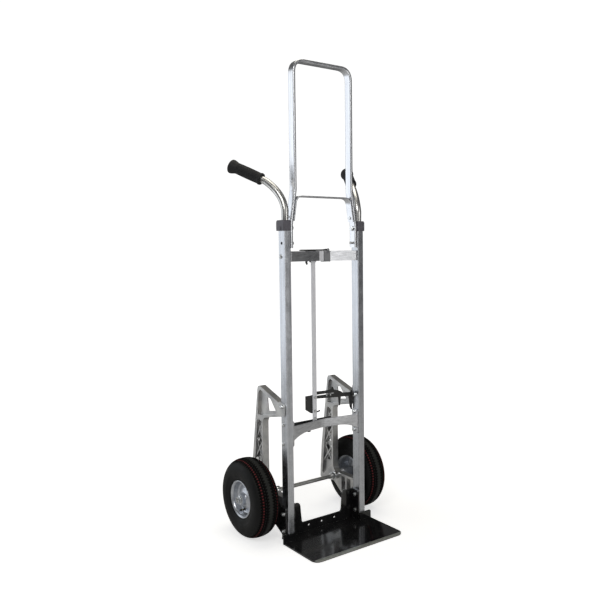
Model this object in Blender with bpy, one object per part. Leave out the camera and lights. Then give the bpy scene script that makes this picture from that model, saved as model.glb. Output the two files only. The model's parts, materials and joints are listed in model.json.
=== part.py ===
"""Convertible hand truck: aluminium rails, cast wheel brackets, folding loop handle and a hand-worked latch.

Sizes are in millimetres and become metres when a mesh is made. The truck's front, where the toe plate
points, faces -Y. +X is to the right when the truck is seen from the front, and the floor is z = 0. The
origin is on the toe plate's underside, under the front faces of the rails.
"""

import math

import bmesh
import bpy
from mathutils import Vector

MM = 0.001
# Clearance between neighbours, clearance around shafts and tubes, and how far a cutter runs past a surface
GAP = 0.4
BORE_GAP = 0.6
PAST = 2.0
SIDES = {"left": -1, "right": 1}

# Fasteners
BOLT_HEAD_RADIUS = 6.5
BOLT_HEAD_HEIGHT = 4.5
BOLT_RADIUS = 4.0
BOLT_NUT_HEIGHT = 5.0
BOLT_TIP = 3.0
BOLT_HOLE_RADIUS = 4.9

# Rails and their caps
RAIL_INNER_X = 134.0
RAIL_WIDTH = 24.0
RAIL_OUTER_X = RAIL_INNER_X + RAIL_WIDTH
RAIL_DEPTH = 33.0
RAIL_WALL = 2.6
RAIL_CORNER = 2.5
RAIL_BOTTOM = 5.6
RAIL_TOP = 979.0
CAP_TOP = 1012.0
CAP_OUTER_X = RAIL_OUTER_X + 5.0
CAP_FRONT_Y = -3.0
CAP_BACK_Y = 40.0
CAP_CORNER = 4.0
CAP_EDGE = 5.0
CAP_FOOT_SCALE = 0.97
CAP_CROWN_SCALE = 0.88

# Grips
GRIP_TUBE_RADIUS = 11.6
GRIP_TUBE_FOOT_RADIUS = 11.0
GRIP_SPIGOT_RADIUS = 8.8
GRIP_SPIGOT_BOTTOM = 956.0
GRIP_TUBE_Y = 12.4
GRIP_BEND_START_Z = 1042.0
GRIP_BEND_CORNER = Vector((1.0, 8.0, 1094.0))
GRIP_BEND_STEPS = 8
GRIP_STRAIGHT = 14.0
GRIP_START = Vector((180.0, 87.0, 1140.0))
GRIP_END = Vector((238.0, 180.0, 1191.0))
GRIP_RADIUS = 17.6
GRIP_FLARE_RADIUS = 22.5
GRIP_END_WALL = 7.5

# Loop handle and its brace
LOOP_THICKNESS = 9.5
LOOP_DEPTH = 28.6
LOOP_FRONT_Y = 1.2
LOOP_TOP = 1503.0
LOOP_OUTER_X = 116.8
LOOP_FOOT_OUTER_X = RAIL_INNER_X - 0.7
LOOP_FOOT_Z = 926.0
LOOP_FLARE_LOW_Z = 1002.0
LOOP_FLARE_HIGH_Z = 1104.0
LOOP_CORNER = 34.0
LOOP_PIVOT_Z = 988.0
LOOP_PIN_Z = 941.0
LOOP_PIN_RADIUS = 3.0
LOOP_CENTRE_Y = LOOP_FRONT_Y + LOOP_DEPTH / 2
LOOP_PIN_STATIONS = ((114.0, 2.6), (114.3, 4.4), (115.5, 4.4), (115.8, 2.8), (117.2, 2.8), (117.5, 4.4),
                     (118.7, 4.4), (118.7, LOOP_PIN_RADIUS), (132.6, LOOP_PIN_RADIUS), (133.2, 2.4))
LOOP_BOLT_STATIONS = ((116.8, 8.0), (122.1, 8.0), (122.1, 4.0), (164.0, 4.0), (164.0, 6.5), (168.0, 6.5))
BRACE_THICKNESS = 4.0
BRACE_TOP = 1088.0
BRACE_FOOT_Z = 1010.0
BRACE_RIVET_Z = 1022.0
BRACE_CORNER = 28.0
BRACE_SHOULDER_X = 107.5
BRACE_LEG = [(118.8, BRACE_FOOT_Z), (114.0, BRACE_FOOT_Z + 30.0)]
BRACE_RIVET_RADIUS = 2.9
BRACE_RIVET_STATIONS = ((112.2, 4.0), (113.6, 5.5), (113.6, BRACE_RIVET_RADIUS), (131.2, BRACE_RIVET_RADIUS))

# Crossbars
BAR_HALF = 130.6
BAR_FRONT_Y = 3.0
BAR_PEAK = 20.0
BAR_BEND_HALF = 7.0
BAR_PLATE = 4.0
UPPER_BAR_LOW = 884.0
UPPER_BAR_TOP = 916.0
LOWER_BAR_LOW = 340.0
LOWER_BAR_TOP = 368.0
LOWER_BAR_FLARE = 19.0
FLARE_START_X = 52.0
FLARE_STEPS = 5
FLARE_POWER = 2.6
TAB_INNER_X = 129.6
TAB_OUTER_X = RAIL_INNER_X - GAP
TAB_FRONT_Y = 1.5
TAB_BACK_Y = 31.0
TAB_CORNER = 4.0
LOWER_TAB_Z = (303.0, 384.0)
UPPER_BOLT_Z = 900.0
LOWER_BOLT_Z = (374.0, 313.0)
BAR_BOLT_Y = 21.0

# Release rod, latch and lever
ROD_X = -30.0
ROD_WIDTH = 15.5
ROD_FRONT_Y = 25.5
ROD_BACK_Y = 29.5
ROD_LOW = 345.0
ROD_TOP = 912.0
ROD_BOLT_HEAD = 4.5
LINK_RADIUS = 2.5
LEVER_LINK_Z = 905.0
LATCH_LINK_Z = 443.0
PLATE_BOLT_Z = 398.0
STOP_BOLT_Z = 373.0
PLATE_Y = (29.9, 32.9)
ARM_Y = (33.6, 37.6)
LATCH_PIVOT_X = 146.0
LATCH_PIVOT_Z = 455.0
LATCH_PIN_RADIUS = 3.2
LATCH_PLATE_OUTLINE = [(-64.0, 450.0), (-64.0, 405.0), (-42.0, 391.0), (-14.0, 391.0), (-6.0, 393.0),
                       (-6.0, 397.0), (-9.0, 397.0), (-13.0, 395.0), (-19.0, 395.0), (-19.0, 450.0)]
# The arm seen from the front: its lower edge with two prongs, and its upper edge with a tooth and a slot.
ARM_PRONGS = [(74.5, 428.7), (78.0, 399.5), (81.0, 399.5), (85.0, 428.2), (119.5, 425.6), (124.5, 389.0),
              (129.5, 379.0), (133.0, 377.5), (133.2, 441.5)]
ARM_TEETH = [(134.0, 446.5), (127.0, 438.5), (92.0, 441.5), (86.0, 446.5), (76.0, 450.5), (56.0, 456.5),
             (51.0, 465.5), (46.0, 465.5), (41.0, 458.5), (20.0, 457.0), (-16.0, 458.5), (-16.0, 448.0),
             (56.0, 446.8), (56.0, 442.5), (-18.0, 444.8)]
GUIDE_Y = (30.2, 35.0)
GUIDE_LOW = 358.0
GUIDE_TOP = 370.0
GUIDE_LEG_X = (-129.2, -125.4)
GUIDE_EAR_FRONT_Y = 25.9
GUIDE_OUTLINE = [(-129.2, GUIDE_LOW), (-57.0, GUIDE_LOW), (-55.0, 331.0), (-45.0, 331.0), (-43.0, GUIDE_LOW),
                 (40.0, GUIDE_LOW), (40.0, GUIDE_TOP), (-129.2, GUIDE_TOP)]
LEVER_PIVOT_X = 24.0
LEVER_PIVOT_Z = 919.5
LEVER_BOSS_RADIUS = 3.2
LEVER_PIN_RADIUS = 1.7
LEVER_Y = (21.2, 31.0)
LUG_Y = (30.3, 34.3)
LEVER_LUG_OUTLINE = [(-56.0, 920.6), (-56.0, 880.0), (-52.0, 872.5), (-48.0, 874.5), (-50.0, 880.0),
                     (-48.0, 886.0), (-40.0, 886.0), (-40.0, 880.0), (-16.0, 880.0), (-16.0, 920.6)]
BRACKET_X = (9.7, 31.6)
BRACKET_Z = (881.4, 915.6)
BRACKET_THICKNESS = 2.8
LEVER_EAR_Y = (16.8, 19.0)
EAR_RADIUS = 4.6

# Wheels and axle
AXLE_Y = 124.0
AXLE_Z = 127.0
AXLE_RADIUS = 6.5
AXLE_HALF = 266.0
WHEEL_X = 222.4
WHEEL_STEPS = 28
RIM_LIP_RADIUS = 60.0
HUB_RADIUS = 16.5
HUB_BORE = 12.4
HUB_INNER = 63.5
HUB_OUTER = 38.0
# Sections as (offset from the wheel's middle, radius), for the right wheel
TYRE_OUTSIDE = [(31.0, 55.4), (33.2, 61.2), (42.0, 72.0), (44.0, 92.0), (36.5, 114.5), (18.0, 125.6)]
TYRE_INSIDE = [(24.0, 116.0), (36.5, 96.0), (34.0, 73.0), (22.0, 55.4)]
TYRE_CROWN = (0.0, 127.0)
TYRE_INNER_CROWN = (0.0, 120.0)
RIM_BARREL = [(-37.0, RIM_LIP_RADIUS), (-34.2, RIM_LIP_RADIUS), (-31.5, 54.9), (31.5, 54.9),
              (34.2, RIM_LIP_RADIUS), (37.0, RIM_LIP_RADIUS), (37.0, 57.6), (34.5, 52.0)]
RIM_DISC = [(14.0, 50.5), (20.0, 34.0), (20.0, 24.0), (HUB_OUTER, HUB_RADIUS), (HUB_OUTER, HUB_BORE)]
RIM_BACK = [(-HUB_INNER, HUB_BORE), (-HUB_INNER, HUB_RADIUS), (-4.0, 20.0), (16.5, 24.0), (16.5, 34.0),
            (9.0, 50.5), (-34.5, 52.0), (-37.0, 57.6)]
# (x, radius) on the right side
COLLAR_STATIONS = [(108.0, 10.5), (110.0, 12.5), (121.0, 12.5), (122.0, 11.0), (124.0, 11.0), (125.0, 15.0),
                   (133.8, 15.0)]
AXLE_NUT_STATIONS = [(WHEEL_X + HUB_OUTER + 0.8, 11.0), (268.5, 11.0), (270.5, 7.0)]

# Wheel brackets (castings), as (y, z) outlines seen from the side
CAST_INNER_X = RAIL_INNER_X + 0.3
CAST_OUTER_X = RAIL_OUTER_X - 0.3
CAST_WEB = 5.0
CAST_RIM = 7.5
CAST_RIB = 3.5
CAST_BOLT_Y = 21.0
CAST_BOLT_Z = 431.0
CHEEK_THICKNESS = 3.5
LEG_FRONT_Y = 143.0
LEG_FOOT = (217.0, 102.0)
LEG_HEAD = (171.5, 466.0)
LEG_CROSSES = (160.0, 228.0, 296.0, 362.0)
WINDOW_BASE = 26.0
WINDOW_TIP = 8.0
WINDOW_HALF = 13.0
CASTING_OUTLINE = [(33.4, 436.0), (33.4, 397.0), (126.0, 377.0), (138.0, 371.0), (LEG_FRONT_Y, 360.0),
                   (LEG_FRONT_Y, 156.0), (139.0, 146.0), (130.0, 139.0), (33.4, 138.0), (33.4, 106.5),
                   (39.4, 106.5), (39.4, 28.0), (105.0, 77.0), (139.0, 103.0), (212.0, 96.0), (218.0, 102.0),
                   (209.0, 219.0), (172.0, 466.0), (168.0, 475.0), (158.0, 477.0), (47.0, 440.0)]
CHEEK_OUTLINE = [(11.0, 402.0), (36.0, 400.0), (50.0, 404.0), (50.0, 430.0), (36.0, 446.0), (14.0, 441.0),
                 (8.0, 434.0), (8.0, 408.0)]
CHEEK_ROOT = [(34.5, 401.0), (49.0, 405.0), (49.0, 430.0), (34.5, 435.0)]

# Toe plate
TOE_HALF = 178.0
TOE_FRONT_Y = -168.0
TOE_THICKNESS = 5.0
TOE_CORNER = 22.0
TOE_BEVEL = 13.0
TOE_EDGE = 1.0
HEEL_Y = (34.2, 38.8)
HEEL_HALF = 157.0
HEEL_HEIGHT = 36.0
HEEL_HOLES_X = (-53.0, 0.0, 53.0)
HEEL_HOLE_Z = 22.0
HEEL_HOLE_RADIUS = 3.6
EAR_INNER_X = 87.0
EAR_HEIGHT = 105.0
EAR_CORNER = 12.0
LIP_X = (131.0, 180.0)
LIP_HEIGHT = 30.0
LIP_THICKNESS = 4.6
SIDE_TAB_Y = (2.0, 36.0)
SIDE_TAB_X = 130.0
SIDE_BOLT_Y = 19.0
SIDE_BOLT_Z = (88.0, 34.0)
AXLE_PLATE_X = (RAIL_OUTER_X + GAP, RAIL_OUTER_X + GAP + 4.0)
AXLE_PLATE_OUTLINE = [(8.0, 22.0), (30.0, 19.0), (76.0, 43.0), (76.0, 98.0), (70.0, 107.0), (12.0, 107.0),
                      (8.0, 103.0)]


def clear_scene():
    for item in list(bpy.data.objects):
        bpy.data.objects.remove(item, do_unlink=True)


def material(name, colour, roughness, metallic):
    made = bpy.data.materials.new(name)
    made.use_nodes = True
    shader = made.node_tree.nodes["Principled BSDF"]
    shader.inputs["Base Color"].default_value = (*colour, 1.0)
    shader.inputs["Roughness"].default_value = roughness
    shader.inputs["Metallic"].default_value = metallic
    return made


# ---------------------------------------------------------------- shape tools

def point_on(axis, along, first, second):
    """A point from its distance along an axis and the two other coordinates in X, Y, Z order."""
    if axis == "X":
        return Vector((along, first, second))
    if axis == "Y":
        return Vector((first, along, second))
    return Vector((first, second, along))


def finish(name, shape, finish_material, sharp_degrees=32.0):
    """Turn a bmesh in millimetres into an object in metres, with its faces outwards."""
    bmesh.ops.remove_doubles(shape, verts=shape.verts, dist=0.0005)
    bmesh.ops.recalc_face_normals(shape, faces=shape.faces)
    bmesh.ops.scale(shape, vec=(MM, MM, MM), verts=shape.verts)
    mesh = bpy.data.meshes.new(name)
    shape.to_mesh(mesh)
    shape.free()
    mesh.materials.append(finish_material)
    mesh.shade_smooth()
    mesh.set_sharp_from_angle(angle=math.radians(sharp_degrees))
    made = bpy.data.objects.new(name, mesh)
    bpy.context.collection.objects.link(made)
    return made


def skin(rings, closed=False):
    """Join rings of equal length into one closed surface, capped unless the rings form a loop."""
    shape = bmesh.new()
    rows = [[shape.verts.new(point) for point in ring] for ring in rings]
    count = len(rows[0])
    pairs = list(zip(rows, rows[1:]))
    if closed:
        pairs.append((rows[-1], rows[0]))
    for row, after in pairs:
        for i in range(count):
            j = (i + 1) % count
            shape.faces.new((row[i], row[j], after[j], after[i]))
    if not closed:
        shape.faces.new(list(reversed(rows[0])))
        shape.faces.new(rows[-1])
    return shape


def prism(name, axis, outline, low, high, finish_material):
    """A flat outline, given in the two axes other than axis, extruded from low to high."""
    rings = [[point_on(axis, along, *corner) for corner in outline] for along in (low, high)]
    return finish(name, skin(rings), finish_material)


def mirrored(outline, side):
    """An (x, y) outline on the left or right side."""
    return [(side * x, y) for x, y in outline]


def box(name, low, high, finish_material):
    outline = [(low[0], low[1]), (high[0], low[1]), (high[0], high[1]), (low[0], high[1])]
    return prism(name, "Z", outline, low[2], high[2], finish_material)


def arc(centre, radius, start, end, steps):
    """Points on an arc; angles are in degrees from the first axis towards the second."""
    points = []
    for i in range(steps + 1):
        angle = math.radians(start + (end - start) * i / steps)
        points.append((centre[0] + radius * math.cos(angle), centre[1] + radius * math.sin(angle)))
    return points


def round_box(low, high, radius, steps=2):
    """A rectangle with rounded corners, as an outline."""
    turns = ((high[0], high[1], 0), (low[0], high[1], 90), (low[0], low[1], 180), (high[0], low[1], 270))
    points = []
    for x, y, start in turns:
        cx = x - radius if x == high[0] else x + radius
        cy = y - radius if y == high[1] else y + radius
        points += arc((cx, cy), radius, start, start + 90, steps)
    return points


def stack(name, axis, centre, stations, finish_material, sides=6, turn=0.0):
    """A turned or hexagonal piece from (position along axis, radius) pairs."""
    rings = []
    for along, radius in stations:
        ring = []
        for i in range(sides):
            angle = math.radians(turn) + 2 * math.pi * i / sides
            ring.append(point_on(axis, along, centre[0] + radius * math.cos(angle),
                                 centre[1] + radius * math.sin(angle)))
        rings.append(ring)
    return finish(name, skin(rings), finish_material)


def lathe(name, centre, profile, steps, finish_material, axis=Vector((1, 0, 0))):
    """Spin a closed profile of (along, radius) points about an axis through a point."""
    axis = axis.normalized()
    side = axis.cross(Vector((0, 1, 0))).normalized()
    shape = bmesh.new()
    corners = [shape.verts.new(centre + axis * along - side * radius) for along, radius in profile]
    edges = [shape.edges.new((corners[i], corners[(i + 1) % len(corners)])) for i in range(len(corners))]
    bmesh.ops.spin(shape, geom=corners + edges, cent=centre, axis=axis, angle=2 * math.pi,
                   steps=steps, use_merge=True)
    return finish(name, shape, finish_material)


def flat_bar(name, path, thickness, front, depth, finish_material, chamfer=1.2):
    """A bar bent in the XZ plane along its centre line; its thickness lies in that plane."""
    half = thickness / 2
    section = [(-half + chamfer, 0), (half - chamfer, 0), (half, chamfer), (half, depth - chamfer),
               (half - chamfer, depth), (-half + chamfer, depth), (-half, depth - chamfer), (-half, chamfer)]
    rings = []
    for i, (x, z) in enumerate(path):
        before = Vector(path[max(i - 1, 0)])
        after = Vector(path[min(i + 1, len(path) - 1)])
        here = Vector((x, z))
        into = (here - before).normalized() if i else (after - here).normalized()
        out = (after - here).normalized() if i < len(path) - 1 else into
        along = (into + out).normalized()
        normal = Vector((-along.y, along.x)) / max(along.dot(into), 0.5)
        rings.append([Vector((x + normal.x * n, front + y, z + normal.y * n)) for n, y in section])
    return finish(name, skin(rings), finish_material)


def round_bar(name, path, radii, sides, finish_material):
    """A round bar along a path of points, with a radius at each point."""
    rings = []
    reference = Vector((0, 1, 0))
    for i, here in enumerate(path):
        before = path[max(i - 1, 0)]
        after = path[min(i + 1, len(path) - 1)]
        along = (after - before).normalized()
        first = along.cross(reference).normalized()
        second = along.cross(first).normalized()
        reference = second.cross(along) if abs(along.dot(reference)) > 0.9 else reference
        rings.append([here + first * radii[i] * math.cos(2 * math.pi * k / sides)
                      + second * radii[i] * math.sin(2 * math.pi * k / sides) for k in range(sides)])
    return finish(name, skin(rings), finish_material)


def boolean(target, tool, operation):
    """Apply a Boolean and remove its tool."""
    step = target.modifiers.new(operation.title(), "BOOLEAN")
    step.operation = operation
    step.solver = "EXACT"
    step.object = tool
    graph = bpy.context.evaluated_depsgraph_get()
    before = target.data
    result = bpy.data.meshes.new_from_object(target.evaluated_get(graph))
    target.modifiers.clear()
    target.data = result
    result.name = before.name
    bpy.data.meshes.remove(before)
    bpy.data.objects.remove(tool, do_unlink=True)


def cut(target, tool):
    boolean(target, tool, "DIFFERENCE")


def add(target, tool):
    boolean(target, tool, "UNION")


def drill(target, axis, centre, radius, low, high, sides=10):
    """A round hole through the target; centre is in the two axes other than axis."""
    reach = sorted((low, high))
    tool = stack("drill", axis, centre, [(reach[0], radius), (reach[1], radius)],
                 target.data.materials[0], sides)
    cut(target, tool)


def pivot_at(name, place):
    """An empty on a joint's axis."""
    empty = bpy.data.objects.new(name, None)
    empty.location = Vector(place) * MM
    empty.empty_display_size = 0.03
    bpy.context.collection.objects.link(empty)
    return empty


def hang(pieces, empty):
    """Parent the pieces to an empty and keep them where they are."""
    for piece in pieces:
        piece.parent = empty
        piece.location = -empty.location


def through_bolt(name, side, place, inner_x, outer_x, zinc, nut_height=BOLT_NUT_HEIGHT):
    """A bolt along X with its hexagon head inboard and its nut outboard; place is (y, z)."""
    tip_x = outer_x + nut_height
    stations = [(inner_x - BOLT_HEAD_HEIGHT, BOLT_HEAD_RADIUS), (inner_x, BOLT_HEAD_RADIUS),
                (inner_x, BOLT_RADIUS), (outer_x, BOLT_RADIUS), (outer_x, BOLT_HEAD_RADIUS),
                (tip_x, BOLT_HEAD_RADIUS), (tip_x, BOLT_RADIUS), (tip_x + BOLT_TIP, BOLT_RADIUS)]
    return stack(name, "X", place, [(side * x, radius) for x, radius in stations], zinc)


# ---------------------------------------------------------------- frame

def make_rail(label, side, aluminium):
    outline = round_box((RAIL_INNER_X, 0), (RAIL_OUTER_X, RAIL_DEPTH), RAIL_CORNER, 2)
    inner_x = RAIL_INNER_X + RAIL_WALL
    outer_x = RAIL_OUTER_X - RAIL_WALL
    back_y = RAIL_DEPTH - RAIL_WALL
    hollow = [(inner_x, RAIL_WALL), (outer_x, RAIL_WALL), (outer_x, back_y), (inner_x, back_y)]
    rail = prism("rail_" + label, "Z", mirrored(outline, side), RAIL_BOTTOM, RAIL_TOP, aluminium)
    cut(rail, prism("hollow", "Z", mirrored(hollow, side), RAIL_BOTTOM - PAST, RAIL_TOP + PAST, aluminium))
    holes = [(LOOP_CENTRE_Y, LOOP_PIN_Z), (BAR_BOLT_Y, UPPER_BOLT_Z), (CAST_BOLT_Y, CAST_BOLT_Z)]
    holes += [(BAR_BOLT_Y, z) for z in LOWER_BOLT_Z]
    holes += [(SIDE_BOLT_Y, z) for z in SIDE_BOLT_Z]
    through = (side * (RAIL_INNER_X - PAST), side * (RAIL_OUTER_X + PAST))
    for place in holes:
        drill(rail, "X", place, BOLT_HOLE_RADIUS, *through, 8)
    if side * LATCH_PIVOT_X > 0:
        place = (LATCH_PIVOT_X, LATCH_PIVOT_Z)
        drill(rail, "Y", place, LATCH_PIN_RADIUS + GAP, back_y - 1, RAIL_DEPTH + 1)
    return rail


def make_cap(label, side, plastic):
    """A cap on the rail's top; its outer wall runs down beside the rail's pivot hole."""
    outline = round_box((RAIL_INNER_X + 0.2, CAP_FRONT_Y), (CAP_OUTER_X, CAP_BACK_Y), CAP_CORNER, 2)
    rings = []
    middle = Vector(((RAIL_INNER_X + CAP_OUTER_X) / 2, (CAP_FRONT_Y + CAP_BACK_Y) / 2))
    levels = ((RAIL_TOP + GAP, CAP_FOOT_SCALE), (RAIL_TOP + CAP_EDGE, 1.0), (CAP_TOP - CAP_EDGE, 1.0),
              (CAP_TOP, CAP_CROWN_SCALE))
    for z, shrink in levels:
        corners = [middle + (Vector(corner) - middle) * shrink for corner in outline]
        rings.append([Vector((side * corner.x, corner.y, z)) for corner in corners])
    cap = finish("rail_cap_" + label, skin(rings), plastic)
    tube_x = side * (RAIL_INNER_X + RAIL_WIDTH / 2)
    drill(cap, "Z", (tube_x, GRIP_TUBE_Y), GRIP_TUBE_FOOT_RADIUS + BORE_GAP, RAIL_TOP - PAST, CAP_TOP + PAST,
          16)
    place = (LOOP_CENTRE_Y, LOOP_PIVOT_Z)
    through = (side * (RAIL_INNER_X - PAST), side * (CAP_OUTER_X + PAST))
    drill(cap, "X", place, BOLT_HOLE_RADIUS, *through, 8)
    return cap


def grip_tube_path():
    """The tube's centre line on the right side: straight up from the rail, then bent back and outwards."""
    foot = Vector((RAIL_INNER_X + RAIL_WIDTH / 2, GRIP_TUBE_Y, 0))
    low = foot + Vector((0, 0, RAIL_TOP + 0.5))
    bend_start = foot + Vector((0, 0, GRIP_BEND_START_Z))
    corner = foot + GRIP_BEND_CORNER
    direction = (GRIP_END - GRIP_START).normalized()
    bend_end = GRIP_START - direction * GRIP_STRAIGHT
    path = [foot + Vector((0, 0, GRIP_SPIGOT_BOTTOM)), low, low + Vector((0, 0, 0.6))]
    for i in range(GRIP_BEND_STEPS + 1):
        t = i / GRIP_BEND_STEPS
        path.append(bend_start * (1 - t) ** 2 + corner * 2 * t * (1 - t) + bend_end * t ** 2)
    path.append(GRIP_END - direction * (GRIP_END_WALL + 0.5))
    return path


def make_grip_tube(label, side, aluminium):
    path = [Vector((side * p.x, p.y, p.z)) for p in grip_tube_path()]
    radii = [GRIP_SPIGOT_RADIUS] * 2 + [GRIP_TUBE_FOOT_RADIUS] * 2 + [GRIP_TUBE_RADIUS] * (len(path) - 4)
    tube = round_bar("grip_tube_" + label, path, radii, 14, aluminium)
    place = (LOOP_CENTRE_Y, LOOP_PIVOT_Z)
    through = (side * (RAIL_INNER_X - PAST), side * (CAP_OUTER_X + PAST))
    drill(tube, "X", place, BOLT_RADIUS + BORE_GAP, *through, 8)
    return tube


def make_grip(label, side, rubber):
    """A tapered sleeve whose closed end flares, more on its lower side."""
    start = Vector((side * GRIP_START.x, GRIP_START.y, GRIP_START.z))
    end = Vector((side * GRIP_END.x, GRIP_END.y, GRIP_END.z))
    length = (end - start).length
    along = (end - start).normalized()
    first = along.cross(Vector((0, 0, 1))).normalized()
    second = along.cross(first)
    lower = second if second.z < 0 else -second

    def ring(distance, radius, sides, drop=0.0):
        middle = start + along * distance + lower * drop
        angles = [2 * math.pi * k / sides for k in range(sides)]
        return [middle + (first * math.cos(a) + second * math.sin(a)) * radius for a in angles]

    profile = [(0, GRIP_RADIUS - 1.0, 0), (1.5, GRIP_RADIUS + 0.5, 0), (7, GRIP_RADIUS + 1.5, 0),
               (14, GRIP_RADIUS - 0.5, 0), (length * 0.5, GRIP_RADIUS + 0.5, 0),
               (length - 30, GRIP_RADIUS, 0.4), (length - 14, GRIP_FLARE_RADIUS - 1.5, 1.8),
               (length - 6, GRIP_FLARE_RADIUS, 2.0),
               (length - 1, GRIP_FLARE_RADIUS - 1.5, 1.6), (length, GRIP_FLARE_RADIUS - 4, 1.2)]
    grip = finish("grip_" + label, skin([ring(d, r, 16, drop) for d, r, drop in profile]), rubber)
    bore = GRIP_TUBE_RADIUS + BORE_GAP
    tool = finish("bore", skin([ring(d, bore, 14) for d in (-PAST, length - GRIP_END_WALL)]), rubber)
    cut(grip, tool)
    return grip


def bar_front(x):
    """A crossbar's front face: two flat halves that slope back to a short straight piece in the middle."""
    slope = max(abs(x) - BAR_BEND_HALF, 0) / (BAR_HALF - BAR_BEND_HALF)
    return BAR_FRONT_Y + BAR_PEAK * (1 - slope)


def bar_stations():
    reach = BAR_HALF - FLARE_START_X
    right = [BAR_BEND_HALF] + [FLARE_START_X + reach * i / FLARE_STEPS for i in range(FLARE_STEPS + 1)]
    return [-x for x in reversed(right)] + right


def crossbar_section(x, low, top, flare):
    """The bar's cross-section at one station; its lower edge drops by the flare towards the rails."""
    spread = max(abs(x) - FLARE_START_X, 0) / (BAR_HALF - FLARE_START_X)
    bottom = low - flare * spread ** FLARE_POWER
    front = bar_front(x)
    back = front + BAR_PLATE
    return [Vector((x, y, z)) for y, z in ((front, bottom), (back, bottom), (back, top), (front, top))]


def make_crossbar(name, height, flare, tab_height, bolt_heights, aluminium):
    sections = [crossbar_section(x, *height, flare) for x in bar_stations()]
    bar = finish(name, skin(sections), aluminium)
    outline = [(TAB_FRONT_Y, tab_height[0] + TAB_CORNER), (TAB_FRONT_Y + TAB_CORNER, tab_height[0]),
               (TAB_BACK_Y - TAB_CORNER, tab_height[0]), (TAB_BACK_Y, tab_height[0] + TAB_CORNER),
               (TAB_BACK_Y, tab_height[1] - TAB_CORNER), (TAB_BACK_Y - TAB_CORNER, tab_height[1]),
               (TAB_FRONT_Y + TAB_CORNER, tab_height[1]), (TAB_FRONT_Y, tab_height[1] - TAB_CORNER)]
    for side in SIDES.values():
        tab_x = sorted((side * TAB_INNER_X, side * TAB_OUTER_X))
        add(bar, prism("tab", "X", outline, *tab_x, aluminium))
        for z in bolt_heights:
            place = (BAR_BOLT_Y, z)
            drill(bar, "X", place, BOLT_HOLE_RADIUS, side * (TAB_INNER_X - 3), side * (TAB_OUTER_X + PAST), 8)
    return bar


def toe_outline():
    corner = TOE_CORNER
    front = TOE_FRONT_Y
    points = [(-TOE_HALF, 0.0)]
    points += arc((-TOE_HALF + corner, front + corner), corner, 180, 270, 4)
    points += arc((TOE_HALF - corner, front + corner), corner, 270, 360, 4)
    points += [(TOE_HALF, 0.0), (RAIL_OUTER_X, 0.0), (RAIL_OUTER_X, HEEL_Y[1]), (-RAIL_OUTER_X, HEEL_Y[1]),
               (-RAIL_OUTER_X, 0.0)]
    return points


def make_toe_plate(black_steel):
    plate = prism("toe_plate", "Z", toe_outline(), 0, TOE_THICKNESS, black_steel)
    bevel_back = TOE_FRONT_Y + TOE_BEVEL
    above = TOE_THICKNESS + 4
    wedge = [(TOE_FRONT_Y - 3, TOE_EDGE), (TOE_FRONT_Y - 3, above), (bevel_back, above),
             (bevel_back, TOE_THICKNESS + 0.4)]
    cut(plate, prism("edge_bevel", "X", wedge, -TOE_HALF - 5, TOE_HALF + 5, black_steel))
    # The upturned pieces start a little above the floor, inside the flat plate that they are joined to.
    root = 1.0
    heel = [(-HEEL_HALF, root), (HEEL_HALF, root), (HEEL_HALF, EAR_HEIGHT - 6), (HEEL_HALF - 6, EAR_HEIGHT)]
    heel += arc((EAR_INNER_X + EAR_CORNER, EAR_HEIGHT - EAR_CORNER), EAR_CORNER, 90, 180, 3)
    heel += [(EAR_INNER_X - 5, HEEL_HEIGHT + 6), (EAR_INNER_X - 10, HEEL_HEIGHT)]
    heel += mirrored(reversed(heel[2:]), -1)
    add(plate, prism("heel", "Y", heel, *HEEL_Y, black_steel))
    lip = [(LIP_X[0], root), (LIP_X[1], root), (LIP_X[1], LIP_HEIGHT - 3), (LIP_X[1] - 3, LIP_HEIGHT),
           (LIP_X[0], LIP_HEIGHT)]
    tab = [(SIDE_TAB_Y[0], root), (SIDE_TAB_Y[1], root), (SIDE_TAB_Y[1], EAR_HEIGHT)]
    tab += arc((SIDE_TAB_Y[0] + EAR_CORNER, EAR_HEIGHT - EAR_CORNER), EAR_CORNER, 90, 180, 3)
    for side in SIDES.values():
        add(plate, prism("lip", "Y", mirrored(lip, side), -GAP - LIP_THICKNESS, -GAP, black_steel))
        add(plate, prism("side_tab", "X", tab, side * SIDE_TAB_X, side * (RAIL_INNER_X - GAP), black_steel))
        for z in SIDE_BOLT_Z:
            through = (side * (SIDE_TAB_X - 3), side * (RAIL_INNER_X + PAST))
            drill(plate, "X", (SIDE_BOLT_Y, z), BOLT_HOLE_RADIUS, *through, 8)
    for x in HEEL_HOLES_X:
        drill(plate, "Y", (x, HEEL_HOLE_Z), HEEL_HOLE_RADIUS, HEEL_Y[0] - 3, HEEL_Y[1] + 3, 10)
    return plate


# ---------------------------------------------------------------- wheel brackets, axle and wheels

def leg_back_y(z):
    """The inner face of the leg's back flange at a height."""
    lean = (LEG_FOOT[0] - LEG_HEAD[0]) / (LEG_HEAD[1] - LEG_FOOT[1])
    return LEG_FOOT[0] - CAST_RIM - 1.5 - (z - LEG_FOOT[1]) * lean


def casting_pockets():
    """Hollows in both faces of the bracket: in its leg, in its head and on each side of the web's rib."""
    front = LEG_FRONT_Y + CAST_RIM
    leg = [(front, 158.0), (leg_back_y(112) - 6, 112.0), (leg_back_y(112), 118.0), (leg_back_y(362), 362.0),
           (front, 362.0)]
    head = [(front - 1, 380.0), (leg_back_y(380), 380.0), (166.0, 455.0), (156.0, 465.0), (62.0, 432.0),
            (62.0, 400.0)]
    web_front = [(46.0, 42.0), (68.0, 58.0), (68.0, 131.0), (46.0, 131.0)]
    web_back = [(75.0, 63.5), (97.0, 80.0), (97.0, 131.0), (75.0, 131.0)]
    return [leg, head, web_front, web_back]


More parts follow.
